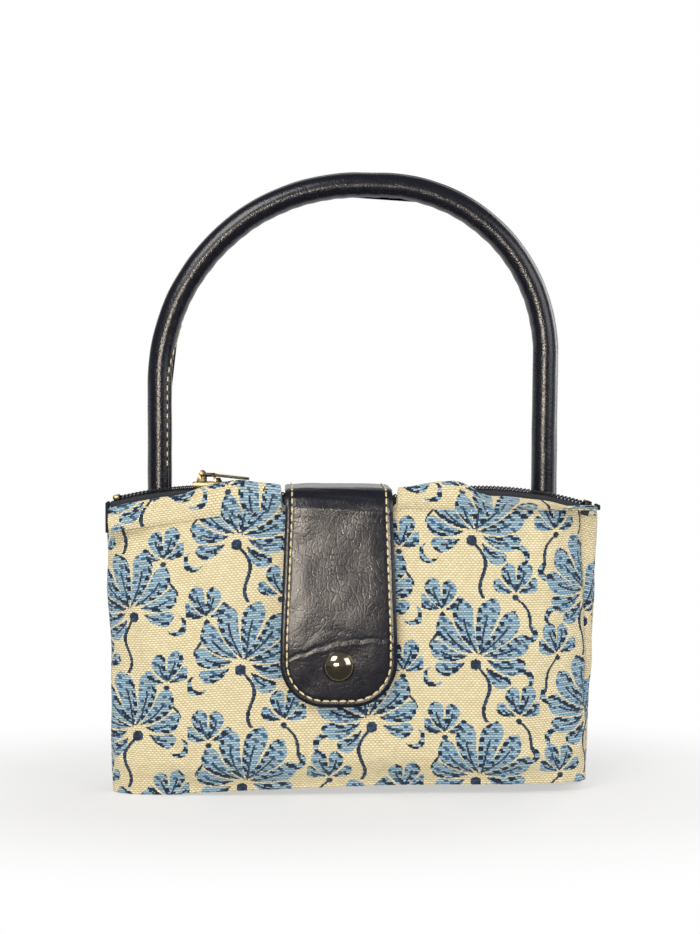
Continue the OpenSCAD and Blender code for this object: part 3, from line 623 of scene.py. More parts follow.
# Pocket lining: plain dark cotton behind the front panel, hidden while the zip is shut.
# It keeps its solid shape and only gets its cloth.
def two_tone(name, kind, sockets, dark, pale, rough, spread=0.0, bump=None, metal=0.0, **settings):
    """Material of two shades blended by one texture in the piece's own place. The texture may also spread
    the roughness, and raise the surface by a bump given as strength and distance."""
    material, tree = new_material(name)
    place = add_node(tree, "ShaderNodeTexCoord")
    texture = add_node(tree, f"ShaderNodeTex{kind}", {"Vector": place.outputs["Object"], **sockets}, **settings)
    share = texture.outputs["Fac"]
    shade(tree, {
        "Base Color": blend_colour(tree, share, colour(dark), colour(pale)), "Metallic": metal,
        "Roughness": reckon(tree, "MULTIPLY_ADD", share, spread, rough) if spread else rough})
    if bump:
        shade(tree, {"Normal": raised(tree, share, *bump)})
    return material


def dress_nodes(material, *nodes):
    """Gives solids that stay in view their material."""
    for node in nodes:
        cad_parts[node].data.materials.clear()
        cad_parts[node].data.materials.append(material)


lining = two_tone("cotton_lining", "Noise", {"Scale": 900.0}, "#20263a", "#343b52", 0.9)
dress_nodes(lining, "pocket_lining")


# Front band: a folded strip of the same tapestry, sewn over the top of the pocket from end to end.
# It covers the edge of the zip tape, puffs up on both sides of the closure tab, and has a row of
# small stitches under its fold.
BAND_Y = -0.0200
TAB_CLEAR, STITCH_CLEAR, BAND_STITCH = 0.0280, 0.0277, 0.0034


def band_low(x):
    return seam_height(x) + 0.0003


def band_puff(x):
    away = np.abs(x - TAB_X) - TAB_CLEAR
    flat, fall = np.where(x < TAB_X, 0.017, 0.026), np.where(x < TAB_X, 0.040, 0.020)
    return np.where(away < 0, -1.15 * ease(-away / 0.004), 1 - ease((away - flat) / fall))


def band_top(x):
    return np.maximum(band_low(x) + 0.0016, zip_height(x) - 0.0042 + 0.0078 * band_puff(x))


def band_place(s, t):
    x = (2 * s - 1) * (BAG_HALF - 0.0006)
    fold = 0.0011
    rise = np.clip(t / 0.8, 0, 1)
    turn = np.clip((t - 0.8) / 0.2, 0, 1) * 0.8 * math.pi
    low, top = band_low(x) - 0.0008, band_top(x) + 0.0004 * crumple(x, x * 0, 31, 0.03)
    swell = 0.0006 + 0.0013 * np.clip(band_puff(x), 0, 1) + 0.0005 * crumple(x, rise * 0.01, 33, 0.045)
    y = BAND_Y - swell * np.sin(math.pi * np.clip(rise, 0, 0.92)) + 0.0007 * (1 - ease(rise / 0.15))
    y = y - 0.00022 * np.sin(x * 2 * math.pi / 0.0068 + 2 * np.sin(x * 47)) * np.exp(-rise / 0.3)
    return x, y + fold * (1 - np.cos(turn)), low + (top - fold - low) * rise + fold * np.sin(turn)


front_band = shaped_grid(
    "front_band", 260, 22, band_place, lambda s, t: (s * 2 * BAG_HALF + 0.0085, t * 0.017 + 0.155))
finish_with(front_band, "SOLIDIFY", thickness=0.0010, offset=-1)
smooth_faces(front_band, 60)
dress(front_band, tapestry, "bag", "tapestry", "front_band")


def lay_stitches(name, size, places):
    """One mesh of equal stitches. Each place is its middle, the way along it and the way out of it."""
    bpy.ops.mesh.primitive_uv_sphere_add(segments=8, ring_count=5, radius=0.5)
    first = bpy.context.object
    bpy.ops.transform.resize(value=size)
    bpy.ops.object.transform_apply(scale=True)
    copies = []
    for middle, along, out in places:
        stitch = bpy.data.objects.new("stitch", first.data.copy())
        bpy.context.collection.objects.link(stitch)
        along, out = Vector(along).normalized(), Vector(out).normalized()
        side = out.cross(along)
        stitch.data.transform(Matrix.Translation(Vector(middle)) @ Matrix((along, side, out)).transposed().to_4x4())
        copies.append(stitch)
    bpy.data.objects.remove(first)
    thread = joined(name, copies)
    smooth_faces(thread, 60)
    return thread


def sewing_thread(name, dark, pale):
    """Twisted thread: a slanting ply across each stitch, with painted shade a little darker between the plies."""
    return two_tone(
        name, "Wave", {"Scale": 420.0, "Distortion": 1.5, "Detail": 1.0}, dark, pale, 0.7, bump=(0.4, 0.0001),
        bands_direction="DIAGONAL")


cream_thread = sewing_thread("cream_thread", "#c2ac78", "#f0e2b8")
stitch_places = []
for x in np.arange(-0.1175, 0.118, BAND_STITCH):
    if abs(x - TAB_X) > STITCH_CLEAR:
        here = np.array([x])
        slope = float(band_top(here + 0.001)[0] - band_top(here - 0.001)[0]) / 0.002
        tall = float(band_top(here)[0] - band_low(here)[0])
        rise = max(0.3, 1 - 0.0026 / tall)
        _, y, z = band_place(np.array([(x / BAG_HALF + 1) / 2]), np.array([0.8 * rise]))
        stitch_places.append(((x, float(y[0]) - 0.0001, float(z[0])), (1, 0, slope), (0, -1, 0)))
band_stitches = lay_stitches("band_stitches", (0.0023, 0.0006, 0.0005), stitch_places)
dress(band_stitches, cream_thread, "bag", "tapestry")


# Band bindings: black tape folded round both raw ends of the band and sewn down.
# Each is a short folded piece, soft at its edges.
BINDING_OUT, BINDING_WIDE, BINDING_OVER = BAG_HALF + 0.0001, 0.0014, 0.0008
binding_low, binding_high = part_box("band_binding")
binding_pieces = []
for side in (-1, 1):
    end = np.array([side * BAG_HALF])
    low = float(band_low(end)[0]) - 0.0006
    high = max(float(band_top(end)[0]) + 0.0004, float(zip_height(end)[0]) - 0.0012)
    near, far = binding_low[1] - BINDING_OVER, binding_high[1]
    bpy.ops.mesh.primitive_cube_add(
        size=1, scale=(BINDING_WIDE, far - near, high - low),
        location=(side * (BINDING_OUT - BINDING_WIDE / 2), (far + near) / 2, (high + low) / 2))
    binding = bpy.context.object
    bpy.ops.object.transform_apply(location=True, scale=True)
    open_up(binding)
    bpy.ops.mesh.bevel(offset=0.0006, segments=3, affect="EDGES")
    close_up()
    binding_pieces.append(binding)
bindings = joined("band_bindings", binding_pieces)
smooth_faces(bindings, 50)
# Painted shade: the tape is painted darker in the hollows between its ribs.
black_tape = two_tone(
    "black_binding", "Wave", {"Scale": 260.0, "Distortion": 0.6}, "#0e0f14", "#22242e", 0.82, bump=(0.5, 0.0002),
    bands_direction="Z")
dress(bindings, black_tape, "bag", "zip_tape", "band_binding")


# Zip tapes: two woven tapes with a herringbone face, one sewn to the band and one to the shopper.
# Each lies flat beside its coil, then turns down to its seam.
def zip_point(x, lateral, height, side):
    slope = (zip_height(x + 1e-4) - zip_height(x - 1e-4)) / 2e-4
    size = np.sqrt(1 + slope**2)
    return x - slope / size * height, ZIP_Y + side * lateral, zip_height(x) + height / size


TAPE_HALF = 0.1190
TAPE_BEND = 0.0007
tape_turns = np.linspace(0, math.pi / 2, 8)
tape_turn = [(0.0058 + TAPE_BEND * math.sin(a), -0.0027 + TAPE_BEND * math.cos(a)) for a in tape_turns]
tape_profile = np.array([(0.0008, -0.0020)] + tape_turn + [(0.0065, -0.0070)])
tape_width = lengths_along(tape_profile)
tape_pieces = {}
for tape_name, side in (("front", -1), ("back", 1)):

    def tape_place_points(s, t):
        across = (t if side > 0 else 1 - t) * tape_width[-1]
        lateral, height = (np.interp(across, tape_width, tape_profile[:, k]) for k in (0, 1))
        x, y, z = zip_point((2 * s - 1) * TAPE_HALF, lateral, height, side)
        seam = band_low(x) + 0.0002
        return x, y, np.where((side < 0) & (z < seam), seam + 0.05 * (z - seam), z)

    tape = shaped_grid(
        f"zip_tape_{tape_name}", 240, 24, tape_place_points, lambda s, t: (2 * s * TAPE_HALF, t * tape_width[-1]))
    finish_with(tape, "SOLIDIFY", thickness=0.0006, offset=-1)
    smooth_faces(tape, 50)
    tape_pieces[tape_name] = tape
zip_cloth, nt = new_material("herringbone_tape")
FOLD_MM, RIB_MM = 1.3, 0.85
tape_sum = partial(reckon, nt)
tape_x, tape_y, _ = split(nt, add_node(nt, "ShaderNodeUVMap", uv_map="UVMap").outputs[0])
fold = tape_sum("PINGPONG", tape_sum("*", tape_y, 1000 / FOLD_MM), 1.0)
rib = tape_sum("FRACT", tape_sum("+", tape_sum("*", tape_x, 1000 / RIB_MM), fold))
off_rib = tape_sum("ABSOLUTE", tape_sum("-", rib, 0.5))
ridge = tape_sum("-", 1.0, tape_sum("*", tape_sum("POWER", off_rib, 2), 4))
# Painted shade: the grooves between the ribs are painted darker than the rib tops.
shade(nt, {
    "Base Color": blend_colour(nt, ridge, colour("#0f1117"), colour("#343a43")), "Roughness": 0.8,
    "Normal": raised(nt, ridge, 0.5, 0.0002)})
for tape_name, tape in tape_pieces.items():
    dress(tape, zip_cloth, "bag", "zip_tape", f"zip_tape_{tape_name}")


# Zip coils: nylon wire wound to a flattened spiral and sewn to each tape, the two rows interlocking.
# A ring of wire is screwed along a straight line, then laid along the zip.
COIL_PITCH = 0.0019
path_x = np.linspace(-0.1178, 0.1178, 2001)
path_length = lengths_along(np.stack((path_x, zip_height(path_x)), 1))
coil_wire = two_tone("nylon_coil", "Noise", {"Scale": 350.0, "Detail": 3.0}, "#0b0c10", "#23252d", 0.24, spread=0.2)
for coil_name, side in (("front", -1), ("back", 1)):
    bpy.ops.mesh.primitive_circle_add(vertices=6, radius=0.00036, location=(0, 0.0010, 0))
    coil = bpy.context.object
    coil.name = f"zip_coil_{coil_name}"
    bpy.ops.object.transform_apply(location=True)
    finish_with(
        coil, "SCREW", axis="X", angle=2 * math.pi, screw_offset=COIL_PITCH,
        iterations=int(path_length[-1] / COIL_PITCH), steps=10, render_steps=10)
    wire = points_of(coil)
    x = np.interp(wire[:, 0] + (0 if side > 0 else COIL_PITCH / 2), path_length, path_x)
    wound = zip_point(x, 0.0015 + wire[:, 1] * 1.05, -0.00105 + wire[:, 2] * 0.74, side)
    move_points(coil, np.stack(wound, 1))
    weld(coil, 2e-6)
    smooth_faces(coil, 80)
    dress(coil, coil_wire, "bag", "zip_coil", f"zip_coil_{coil_name}")


# Zip stops, slider and pull: pressed metal with an aged gunmetal finish, all edges tumbled smooth.
# The stops are clamped on the coils, the slider runs on both rows, and the pull hangs in its bridge.
gunmetal = two_tone(
    "aged_gunmetal", "Noise", {"Scale": 320.0, "Detail": 5.0}, "#2e2a21", "#7f7459", 0.12, spread=0.22,
    bump=(0.12, 0.0001), metal=1.0)


def tumbled(node, name, width):
    """A copy of a pressed part with its facets merged and its edges rounded."""
    piece = bpy.data.objects.new(name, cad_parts[node].data.copy())
    bpy.context.collection.objects.link(piece)
    open_up(piece)
    bpy.ops.mesh.remove_doubles(threshold=2e-6)
    bpy.ops.mesh.dissolve_limited(angle_limit=math.radians(2))
    bpy.ops.object.mode_set(mode="OBJECT")
    round_edges(piece, width, 3, 35)
    smooth_faces(piece, 35)
    return piece


for node, body, rounding in (
    ("zip_top_stops", "bag", 0.00015), ("zip_bottom_stop", "bag", 0.00015),
    ("zip_slider", "slider", 0.00025), ("zip_pull", "pull", 0.00025),
):
    dress(tumbled(node, f"{node}_metal", rounding), gunmetal, body, "zip_metal", node)


# Handles: leather rolled round a cord and sewn along one seam, in two matching arches.
# Their ends are pressed flat and sewn in between the folds, so each arch bends just above the cloth.
grain_group, grain_in, grain_out = new_group(
    "leather_grain", [("Hide", "Vector")], [("Height", "Float"), ("Crease", "Float"), ("Mottle", "Float")])
grain_sum = partial(reckon, grain_group)
hide_mm = add_node(
    grain_group, "ShaderNodeVectorMath", {0: grain_in.outputs["Hide"], 1: (1000, 1000, 1000)},
    operation="MULTIPLY").outputs[0]
drift = add_node(grain_group, "ShaderNodeTexNoise", {"Vector": hide_mm, "Scale": 0.22, "Detail": 3.0})
patch = add_node(grain_group, "ShaderNodeTexNoise", {"Vector": hide_mm, "Scale": 0.06, "Detail": 1.0})


def ramp(tree, value, start, end, low, high, kind="SMOOTHSTEP"):
    """Goes from low to high as the value goes from start to end."""
    sockets = {0: value, 1: start, 2: end, 3: low, 4: high}
    return add_node(tree, "ShaderNodeMapRange", sockets, interpolation_type=kind).outputs[0]


def crease_net(bend, scale, width):
    """Net of creases round cells of the given number per millimetre, bent by the slow noise."""
    bent = add_node(
        grain_group, "ShaderNodeVectorMath", {0: patch.outputs["Color"], 1: (bend, bend, 0), 2: hide_mm},
        operation="MULTIPLY_ADD")
    cells = add_node(
        grain_group, "ShaderNodeTexVoronoi", {"Vector": bent.outputs[0], "Scale": scale},
        feature="DISTANCE_TO_EDGE", voronoi_dimensions="2D")
    return ramp(grain_group, cells.outputs[0], 0.0, width, 1.0, 0.0)


worn = ramp(grain_group, patch.outputs[0], 0.30, 0.60, 0.45, 1.0, kind="LINEAR")
crease = grain_sum("*", crease_net(10, 0.30, 0.16), worn)
deep = grain_sum("MULTIPLY_ADD", crease_net(-5, 0.75, 0.34), 0.24, grain_sum("*", crease, 0.45))
group_gives(grain_group, grain_out, {
    "Height": grain_sum("-", 0.0, deep), "Crease": crease, "Mottle": drift.outputs[0]})


def leather(name, dark, pale, line, shine):
    """Smooth leather with a net of creases, given two colours, the painted shade in a crease and its least
    roughness.
    """
    material, tree = new_material(name)
    hide = add_node(tree, "ShaderNodeUVMap", uv_map="UVMap")
    grain = place_group(tree, grain_group, {"Hide": hide.outputs[0]})
    base = blend_colour(tree, grain.outputs["Mottle"], colour(dark), colour(pale))
    # Painted shade: the creases are painted darker than the leather round them.
    crease_shade = reckon(tree, "*", grain.outputs["Crease"], 0.35)
    shade(tree, {
        "Base Color": blend_colour(tree, crease_shade, base, colour(line)), "Specular IOR Level": 0.8,
        "Roughness": reckon(tree, "MULTIPLY_ADD", grain.outputs["Mottle"], 0.14, shine),
        "Normal": raised(tree, grain.outputs["Height"], 0.25, 0.0003)})
    return material


def arc_points(middle, size, start, end, count):
    """Points round part of a circle, without the last one."""
    turns = np.linspace(start, end, count, endpoint=False)
    return [(middle[0] + size * math.cos(a), middle[1] + size * math.sin(a)) for a in turns]


def ways_along(points, run):
    """Way ahead at each point of a line."""
    ways = np.gradient(points, run, axis=0)
    return ways / np.hypot(ways[:, 0], ways[:, 1])[:, None]


def along_line(run, line_run, line, ways):
    """Place on a line and way ahead there, at lengths measured from its start."""
    return (np.interp(run, line_run, column) for column in (*line.T, *ways.T))


# The third colour, the darkest, is painted shade in the creases.
navy_leather = leather("navy_leather", "#0a0b15", "#151726", "#07080e", 0.2)
HANDLE_R, HANDLE_FOOT, HANDLE_STITCH, HANDLE_SEAM_END = 0.0060, 0.118, 0.0046, 0.045
HANDLE_ARCS = {
    "front": ((0.0025, 0.202, 0.098), (0.0135, 0.218, 0.082)),
    "back": ((0.0035, 0.202, 0.100), (0.0145, 0.218, 0.084)),
}
for which, body in (("front", "front_handle"), ("back", "back_handle")):
    (left_x, left_z, left_r), (right_x, right_z, right_r) = HANDLE_ARCS[which]
    arch = np.array(
        [(left_x - left_r, z) for z in np.linspace(HANDLE_FOOT, left_z, 60, endpoint=False)]
        + arc_points((left_x, left_z), left_r, math.pi, math.pi / 2, 90)
        + arc_points((right_x, right_z), right_r, math.pi / 2, 0, 90)
        + [(right_x + right_r, z) for z in np.linspace(right_z, HANDLE_FOOT, 60)])
    arch_run = lengths_along(arch)
    arch_way = ways_along(arch, arch_run)

    def handle_point(turn, run, lift):
        """Point on the handle: turn is measured from the inner side towards the front."""
        x, z, way_x, way_z = along_line(run, arch_run, arch, arch_way)
        press = ease((0.141 - z) / 0.018)
        wide, deep = HANDLE_R + lift + 0.0010 * press, HANDLE_R + lift - 0.0047 * press
        inward = wide * np.cos(turn)
        return x + inward * way_z, HANDLE_Y[which] - deep * np.sin(turn), z - inward * way_x

    def seam_turn(run):
        share = ease((run / arch_run[-1] - 0.17) / 0.13)
        return math.radians(32) - math.radians(110) * share

    def handle_place(s, t):
        run, turn = t * arch_run[-1], s * 2 * math.pi
        off = np.abs(np.angle(np.exp(1j * (turn - seam_turn(run)))))
        lift = -0.0006 * np.exp(-((off / 0.075) ** 2)) + 0.00028 * np.exp(-(((off - 0.2) / 0.1) ** 2))
        bent = ease((np.interp(run, arch_run, arch[:, 1]) - 0.2) / 0.05)
        ripple = np.sin(run * 2 * math.pi / 0.0085 + 2 * np.sin(run * 31))
        lift = lift + 0.00011 * bent * np.maximum(np.cos(turn), 0) * ripple
        lift = lift + 0.00012 * crumple(run, turn * HANDLE_R, 70, 0.035)
        return handle_point(turn, run, lift)

    handle = shaped_grid(
        f"handle_{which}", 48, 330, handle_place, lambda s, t: (s * 2 * math.pi * HANDLE_R, t * arch_run[-1]))
    weld(handle, close=True)
    smooth_faces(handle, 50)
    handle.data.materials.append(navy_leather)
    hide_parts(f"handle_{which}_cover", f"handle_{which}_ends")
    places = []
    for run in np.arange(HANDLE_SEAM_END, arch_run[-1] - HANDLE_SEAM_END, HANDLE_STITCH):
        here = np.array([run])
        turn = seam_turn(here) + 0.30
        at, ahead_of, outer = (
            np.array(handle_point(turn, here + step, lift))[:, 0]
            for step, lift in ((0, 0.00012), (0.001, 0.00012), (0, 0.001)))
        places.append((at, ahead_of - at, outer - at))
    seam = lay_stitches(f"handle_{which}_stitches", (0.0030, 0.0007, 0.0006), places)
    seam.data.materials.append(cream_thread)
    for piece in (handle, seam):
        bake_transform(piece)

cord_core = two_tone(
    "cotton_cord", "Wave", {"Scale": 180.0, "Distortion": 1.0}, "#8d846f", "#cfc5ab", 0.9,
    bands_direction="DIAGONAL")
dress_nodes(cord_core, "handle_front_core", "handle_back_core")


# Closure tab: a long strap of two leathers glued and sewn together all round its edge.
# Its back end is sewn to the back of the bag. It goes over the top, bends, and its flap snaps on the pocket.
TAB_HALF, TAB_TOP_HALF, TAB_CORNER, TAB_LOW, TAB_FLAP_TOP = 0.02825, 0.0260, 0.022, 0.0465, 0.14061
TAB_OVER_Z, TAB_BACK_TOP, TAB_BACK_END = 0.15166, 0.14161, 0.108
FRONT_BEND_Y, BACK_BEND_Y = -0.0126, 0.0148
flap_z = np.linspace(TAB_LOW, TAB_FLAP_TOP, 160, endpoint=False)
tab_line = np.array(
    [(-0.02365 - 0.0049 * float(ease((0.14031 - z) / 0.0666)), z) for z in flap_z]
    + arc_points((FRONT_BEND_Y, TAB_FLAP_TOP), 0.01105, math.pi, math.pi / 2, 30)
    + [(y, TAB_OVER_Z) for y in np.linspace(FRONT_BEND_Y, BACK_BEND_Y, 30, endpoint=False)]
    + arc_points((BACK_BEND_Y, TAB_BACK_TOP), 0.01005, math.pi / 2, 0, 30)
    + [(0.02485, z) for z in np.linspace(TAB_BACK_TOP, TAB_BACK_END, 40)])
tab_run = lengths_along(tab_line)
tab_way = ways_along(tab_line, tab_run)
BACK_CORNER = 0.006


def tab_half(run):
    """Half the width of the tab at a length measured up from the lower end of its flap."""
    half = np.clip(TAB_HALF - (TAB_HALF - TAB_TOP_HALF) * (run - 0.032) / 0.0621, TAB_TOP_HALF, TAB_HALF)
    corner = np.clip(TAB_CORNER - run, 0, TAB_CORNER)
    half = half - TAB_CORNER + np.sqrt(TAB_CORNER**2 - corner**2)
    back = np.clip(run - tab_run[-1] + BACK_CORNER, 0, BACK_CORNER)
    return half - BACK_CORNER + np.sqrt(BACK_CORNER**2 - back**2)


def tab_edge(x, run):
    """How far a point lies inside the edge of the tab."""
    front = TAB_CORNER - np.hypot(np.maximum(np.abs(x) - TAB_HALF + TAB_CORNER, 0), np.maximum(TAB_CORNER - run, 0))
    straight = np.minimum(tab_half(np.maximum(run, TAB_CORNER)) - np.abs(x), tab_run[-1] - run)
    return np.where(run < TAB_CORNER, front, straight)


def tab_point(x, run, lift):
    y, z, way_y, way_z = along_line(run, tab_run, tab_line, tab_way)
    return TAB_X + x, y - way_z * lift, z + way_y * lift


def tab_rows(t):
    """Rows close together round the corners at both ends."""
    front = TAB_CORNER * (1 - np.cos(np.clip(t / 0.22, 0, 1) * math.pi / 2))
    back = BACK_CORNER * (1 - np.cos(np.clip((1 - t) / 0.08, 0, 1) * math.pi / 2))
    middle = TAB_CORNER + (tab_run[-1] - TAB_CORNER - BACK_CORNER) * (t - 0.22) / 0.70
    return np.where(t < 0.22, front, np.where(t > 0.92, tab_run[-1] - back, middle))


STUD_AT = (TAB_X, 0.0665)


def tab_place(s, t):
    run = tab_rows(t)
    x = (2 * s - 1) * tab_half(run)
    inside = tab_edge(x, run)
    lift = 0.00045 * ease(inside / 0.012) - 0.00028 * np.exp(-(((inside - 0.0032) / 0.0008) ** 2))
    lift = lift - 0.0005 * (1 - ease(inside / 0.0014))
    up = run - (STUD_AT[1] - TAB_LOW)
    reach = np.hypot(x * 0.82, up)
    for ring, deep in ((0.0135, 0.00012), (0.0175, 0.00008)):
        wander = 0.0012 * np.sin(x * 210 + ring * 900)
        dent = deep * np.exp(-(((reach - ring - wander) / 0.0007) ** 2))
        lift = lift - dent * ease((up - 0.004) / 0.006) * ease(inside / 0.006)
    fold_at = np.interp(x, (-0.0243, -0.0124, -0.0005, 0.0138, 0.0219), (0.0238, 0.0281, 0.0317, 0.0333, 0.0329))
    across = run - fold_at + 0.0003 * np.sin(x * 700)
    fold = 0.00014 * np.exp(-(((across + 0.0013) / 0.0010) ** 2)) - 0.00035 * np.exp(-((across / 0.0005) ** 2))
    lift = lift + fold * ease(inside / 0.004)
    lift = lift + 0.0002 * crumple(x, run, 90, 0.03) * ease(inside / 0.006)
    bend = np.exp(-(((run - 0.101) / 0.010) ** 2))
    ripple = 0.5 + 0.5 * np.sin(run * 2 * math.pi / 0.0042 + 3 * np.sin(x * 60))
    lift = lift - 0.00022 * bend * ripple * ease(inside / 0.006)
    return tab_point(x, run, lift)


tab = shaped_grid(
    "closure_tab", 90, 230, tab_place,
    lambda s, t: ((2 * s - 1) * tab_half(tab_rows(t)) + 0.06, tab_rows(t)))
finish_with(tab, "SOLIDIFY", thickness=0.0020, offset=-1)
round_edges(tab, 0.0004, 2, 60)
smooth_faces(tab, 50)
# The third colour, the darkest, is painted shade in the creases.
tab.data.materials.append(leather("tab_leather", "#11121c", "#1e202d", "#0b0c14", 0.22))
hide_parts("tab_strap_face", "tab_strap_backing", "tab_flap_face", "tab_flap_backing")

SEAM_IN, TAB_STITCH = 0.0032, 0.0041
seam_corner = TAB_CORNER - SEAM_IN
outline = []
for run in np.linspace(tab_run[-1] - 0.004, TAB_CORNER, 400):
    outline.append((float(tab_half(np.array(run))) - SEAM_IN, run))
for a in np.linspace(0, math.pi / 2, 80)[1:]:
    outline.append((TAB_HALF - TAB_CORNER + seam_corner * math.cos(a), TAB_CORNER - seam_corner * math.sin(a)))
outline = np.array(outline + [(-x, run) for x, run in reversed(outline)])
outline_run = lengths_along(outline)
places = []
stitch_count = int(outline_run[-1] / TAB_STITCH)
for k in range(stitch_count):
    spots = []
    for step in (0, 0.0006):
        seam_at = (k + 0.5) * outline_run[-1] / stitch_count + step
        x, run = (np.array(np.interp(seam_at, outline_run, column)) for column in outline.T)
        spots.append([np.array([float(v) for v in tab_point(x, run, lift)]) for lift in (0.0002, 0.0012)])
    places.append((spots[0][0], spots[1][0] - spots[0][0], spots[0][1] - spots[0][0]))
tab_stitches = lay_stitches("tab_stitches", (0.0036, 0.0010, 0.0009), places)
tab_stitches.data.materials.append(sewing_thread("straw_thread", "#c9b57f", "#f1e6bd"))
for piece in (tab, tab_stitches):
    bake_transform(piece)


# Press stud: a domed nickel cap with its socket riveted through the flap, and a stud riveted through
# the pocket. The cap is spun from sheet, with a rolled rim.
cap_low, cap_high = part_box("stud_cap")
CAP_FOOT = -0.0287
# Width and rise of the cap from its foot to its crown, as shares of its half width and its height.
CAP_PROFILE = (
    (0.93, 0.0), (0.985, 0.02), (1.0, 0.07), (0.99, 0.13), (0.965, 0.19), (0.93, 0.28), (0.87, 0.42),
    (0.78, 0.57), (0.66, 0.72), (0.52, 0.84), (0.36, 0.93), (0.18, 0.985), (0.06, 1.0),
)
cap_middle = (TAB_X, CAP_FOOT, STUD_AT[1])
cap_r, cap_h = (cap_high[0] - cap_low[0]) / 2, CAP_FOOT - cap_low[1]
bpy.ops.mesh.primitive_circle_add(
    vertices=64, radius=cap_r * CAP_PROFILE[0][0], fill_type="NGON", location=cap_middle,
    rotation=(math.pi / 2, 0, 0))
cap = bpy.context.object
cap.name = "stud_cap_dome"
bpy.ops.object.transform_apply(location=True, rotation=True)
open_up(cap)
for (old_width, old_rise), (width, rise) in zip(CAP_PROFILE, CAP_PROFILE[1:]):
    bpy.ops.mesh.extrude_region_move(TRANSFORM_OT_translate={"value": (0, -(rise - old_rise) * cap_h, 0)})
    bpy.ops.transform.resize(value=(width / old_width, 1, width / old_width), center_override=cap_middle)
close_up()
smooth_faces(cap, 60)
nickel = two_tone(
    "polished_nickel", "Noise", {"Scale": 240.0, "Detail": 4.0}, "#b8ab94", "#dcd2bd", 0.06, spread=0.12, metal=1.0)
dress(cap, nickel, "tab_flap", "stud_metal", "stud_cap")
dress_nodes(nickel, "stud_socket", "stud_post", "stud_rivet")


# Floor, light and camera: a plain white sweep, a soft key lamp at the upper left, a low warm lamp in
# front, a fill on the right and one behind, and a viewpoint a little left of the middle.
bpy.ops.mesh.primitive_plane_add(size=12)
floor = bpy.context.object
floor.name = "floor"
paper, nt = new_material("white_paper")
shade(nt, {"Base Color": (0.9, 0.9, 0.9, 1), "Roughness": 0.9})
ray = add_node(nt, "ShaderNodeLightPath")
floor_place = add_node(nt, "ShaderNodeTexCoord")
floor_y = split(nt, floor_place.outputs["Object"])[1]
mirrored = reckon(nt, "MAXIMUM", ray.outputs["Is Glossy Ray"], ray.outputs["Is Transmission Ray"])
seen = reckon(nt, "MAXIMUM", ray.outputs["Is Camera Ray"], mirrored)
in_front = ramp(nt, floor_y, 0.03, -0.04, 1.0, 0.06)
white = reckon(nt, "MAXIMUM", ray.outputs["Is Camera Ray"], in_front)
footprint = add_node(
    nt, "ShaderNodeVectorMath", {0: floor_place.outputs["Object"], 1: (0.5, 1, 1)}, operation="MULTIPLY")
away = add_node(nt, "ShaderNodeVectorMath", {0: footprint.outputs[0]}, operation="LENGTH").outputs[1]
fade = reckon(nt, "MAXIMUM", ramp(nt, away, 0.05, 0.18, 0.5, 1.0), mirrored)
glow = add_node(nt, "ShaderNodeEmission", {"Color": (1, 1, 1, 1), "Strength": white})
matt = nt.nodes["Principled BSDF"].outputs[0]
sweep = add_node(nt, "ShaderNodeMixShader", {0: reckon(nt, "*", seen, fade), 1: matt, 2: glow.outputs[0]})
nt.links.new(sweep.outputs[0], nt.nodes["Material Output"].inputs["Surface"])
floor.data.materials.append(paper)
floor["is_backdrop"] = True

world = bpy.context.scene.world or bpy.data.worlds.new("studio")
bpy.context.scene.world = world
world.use_nodes = True
nt = world.node_tree
nt.nodes.clear()
SKY_LIGHT = 0.35
ray = add_node(nt, "ShaderNodeLightPath")
sky_y = split(nt, add_node(nt, "ShaderNodeTexCoord").outputs["Generated"])[1]
behind = ramp(nt, sky_y, 0.6, 1.0, 0.12, 1.0)
glossy = reckon(nt, "MAXIMUM", ray.outputs["Is Glossy Ray"], ray.outputs["Is Transmission Ray"])
soft = reckon(nt, "MULTIPLY_ADD", glossy, reckon(nt, "-", behind, SKY_LIGHT), SKY_LIGHT)
strength = reckon(nt, "MAXIMUM", soft, ray.outputs["Is Camera Ray"])
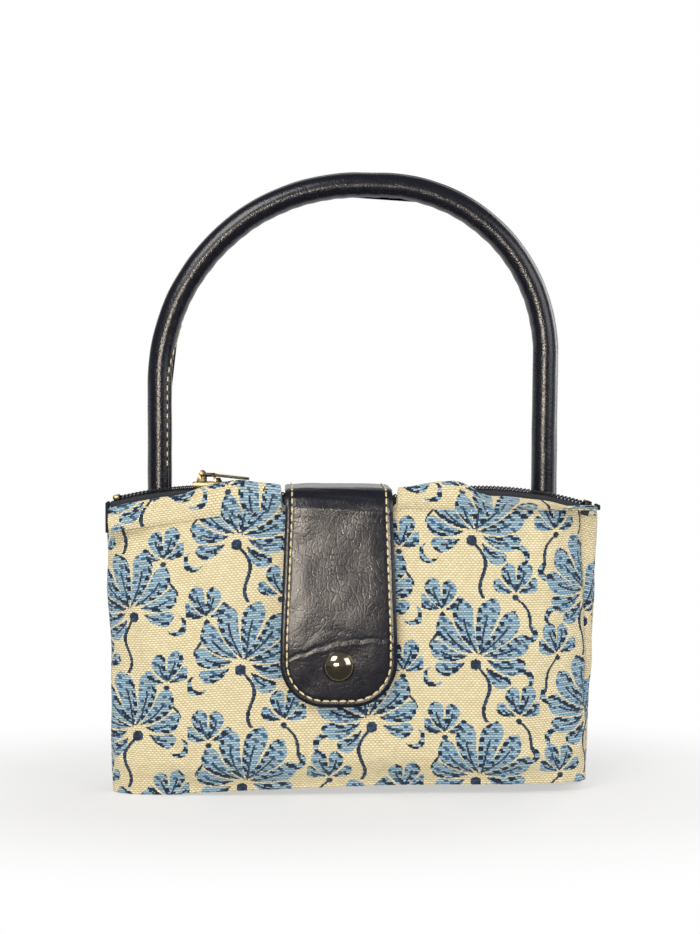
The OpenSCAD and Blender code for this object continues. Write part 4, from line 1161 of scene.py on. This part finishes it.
sky = add_node(nt, "ShaderNodeBackground", {"Color": (1, 1, 1, 1), "Strength": strength})
nt.links.new(sky.outputs[0], add_node(nt, "ShaderNodeOutputWorld").inputs["Surface"])

LAMP_AIM = Vector((0, 0, 0.12))
for lamp_name, stand, (wide, tall), power, tint in (
    ("key", (-0.55, -0.80, 0.95), (0.6, 0.6), 6.5, (1.0, 0.98, 0.95)),
    ("front", (-0.30, -1.43, 0.225), (0.46, 0.18), 8.0, (1.0, 0.88, 0.74)),
    ("fill", (0.85, -0.60, 0.50), (0.7, 0.7), 3.0, (1.0, 1.0, 1.0)),
    ("back", (1.00, 0.90, 0.60), (1.0, 1.0), 6.0, (1.0, 1.0, 1.0)),
):
    bpy.ops.object.light_add(type="AREA", location=stand)
    lamp = bpy.context.object
    lamp.name = lamp_name
    lamp.data.shape = "RECTANGLE"
    lamp.data.size, lamp.data.size_y = wide, tall
    lamp.data.energy = power
    lamp.data.color = tint
    lamp.rotation_euler = (LAMP_AIM - Vector(stand)).to_track_quat("-Z", "Y").to_euler()

CAMERA_AT = Vector((-0.0392, -0.820, 0.2094))
YAW, PITCH, ROLL = math.radians(2.64), math.radians(-3.36), math.radians(0.34)
FOCAL_PX, VIEW_PX, SENSOR_MM = 1657.6, 934, 36.0
ahead = Vector((math.sin(YAW) * math.cos(PITCH), math.cos(YAW) * math.cos(PITCH), math.sin(PITCH)))
level = Vector((math.cos(YAW), -math.sin(YAW), 0))
upward = level.cross(ahead)
right_way = level * math.cos(ROLL) + upward * math.sin(ROLL)
up_way = upward * math.cos(ROLL) - level * math.sin(ROLL)
bpy.ops.object.camera_add()
camera = bpy.context.object
camera.matrix_world = Matrix.Translation(CAMERA_AT) @ Matrix((right_way, up_way, -ahead)).transposed().to_4x4()
camera.data.sensor_fit = "VERTICAL"
camera.data.sensor_height = SENSOR_MM
camera.data.lens = SENSOR_MM * FOCAL_PX / VIEW_PX
camera.data.clip_start = 0.01
bpy.context.scene.camera = camera
bpy.context.scene.view_settings.view_transform = "Standard"

low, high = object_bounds()
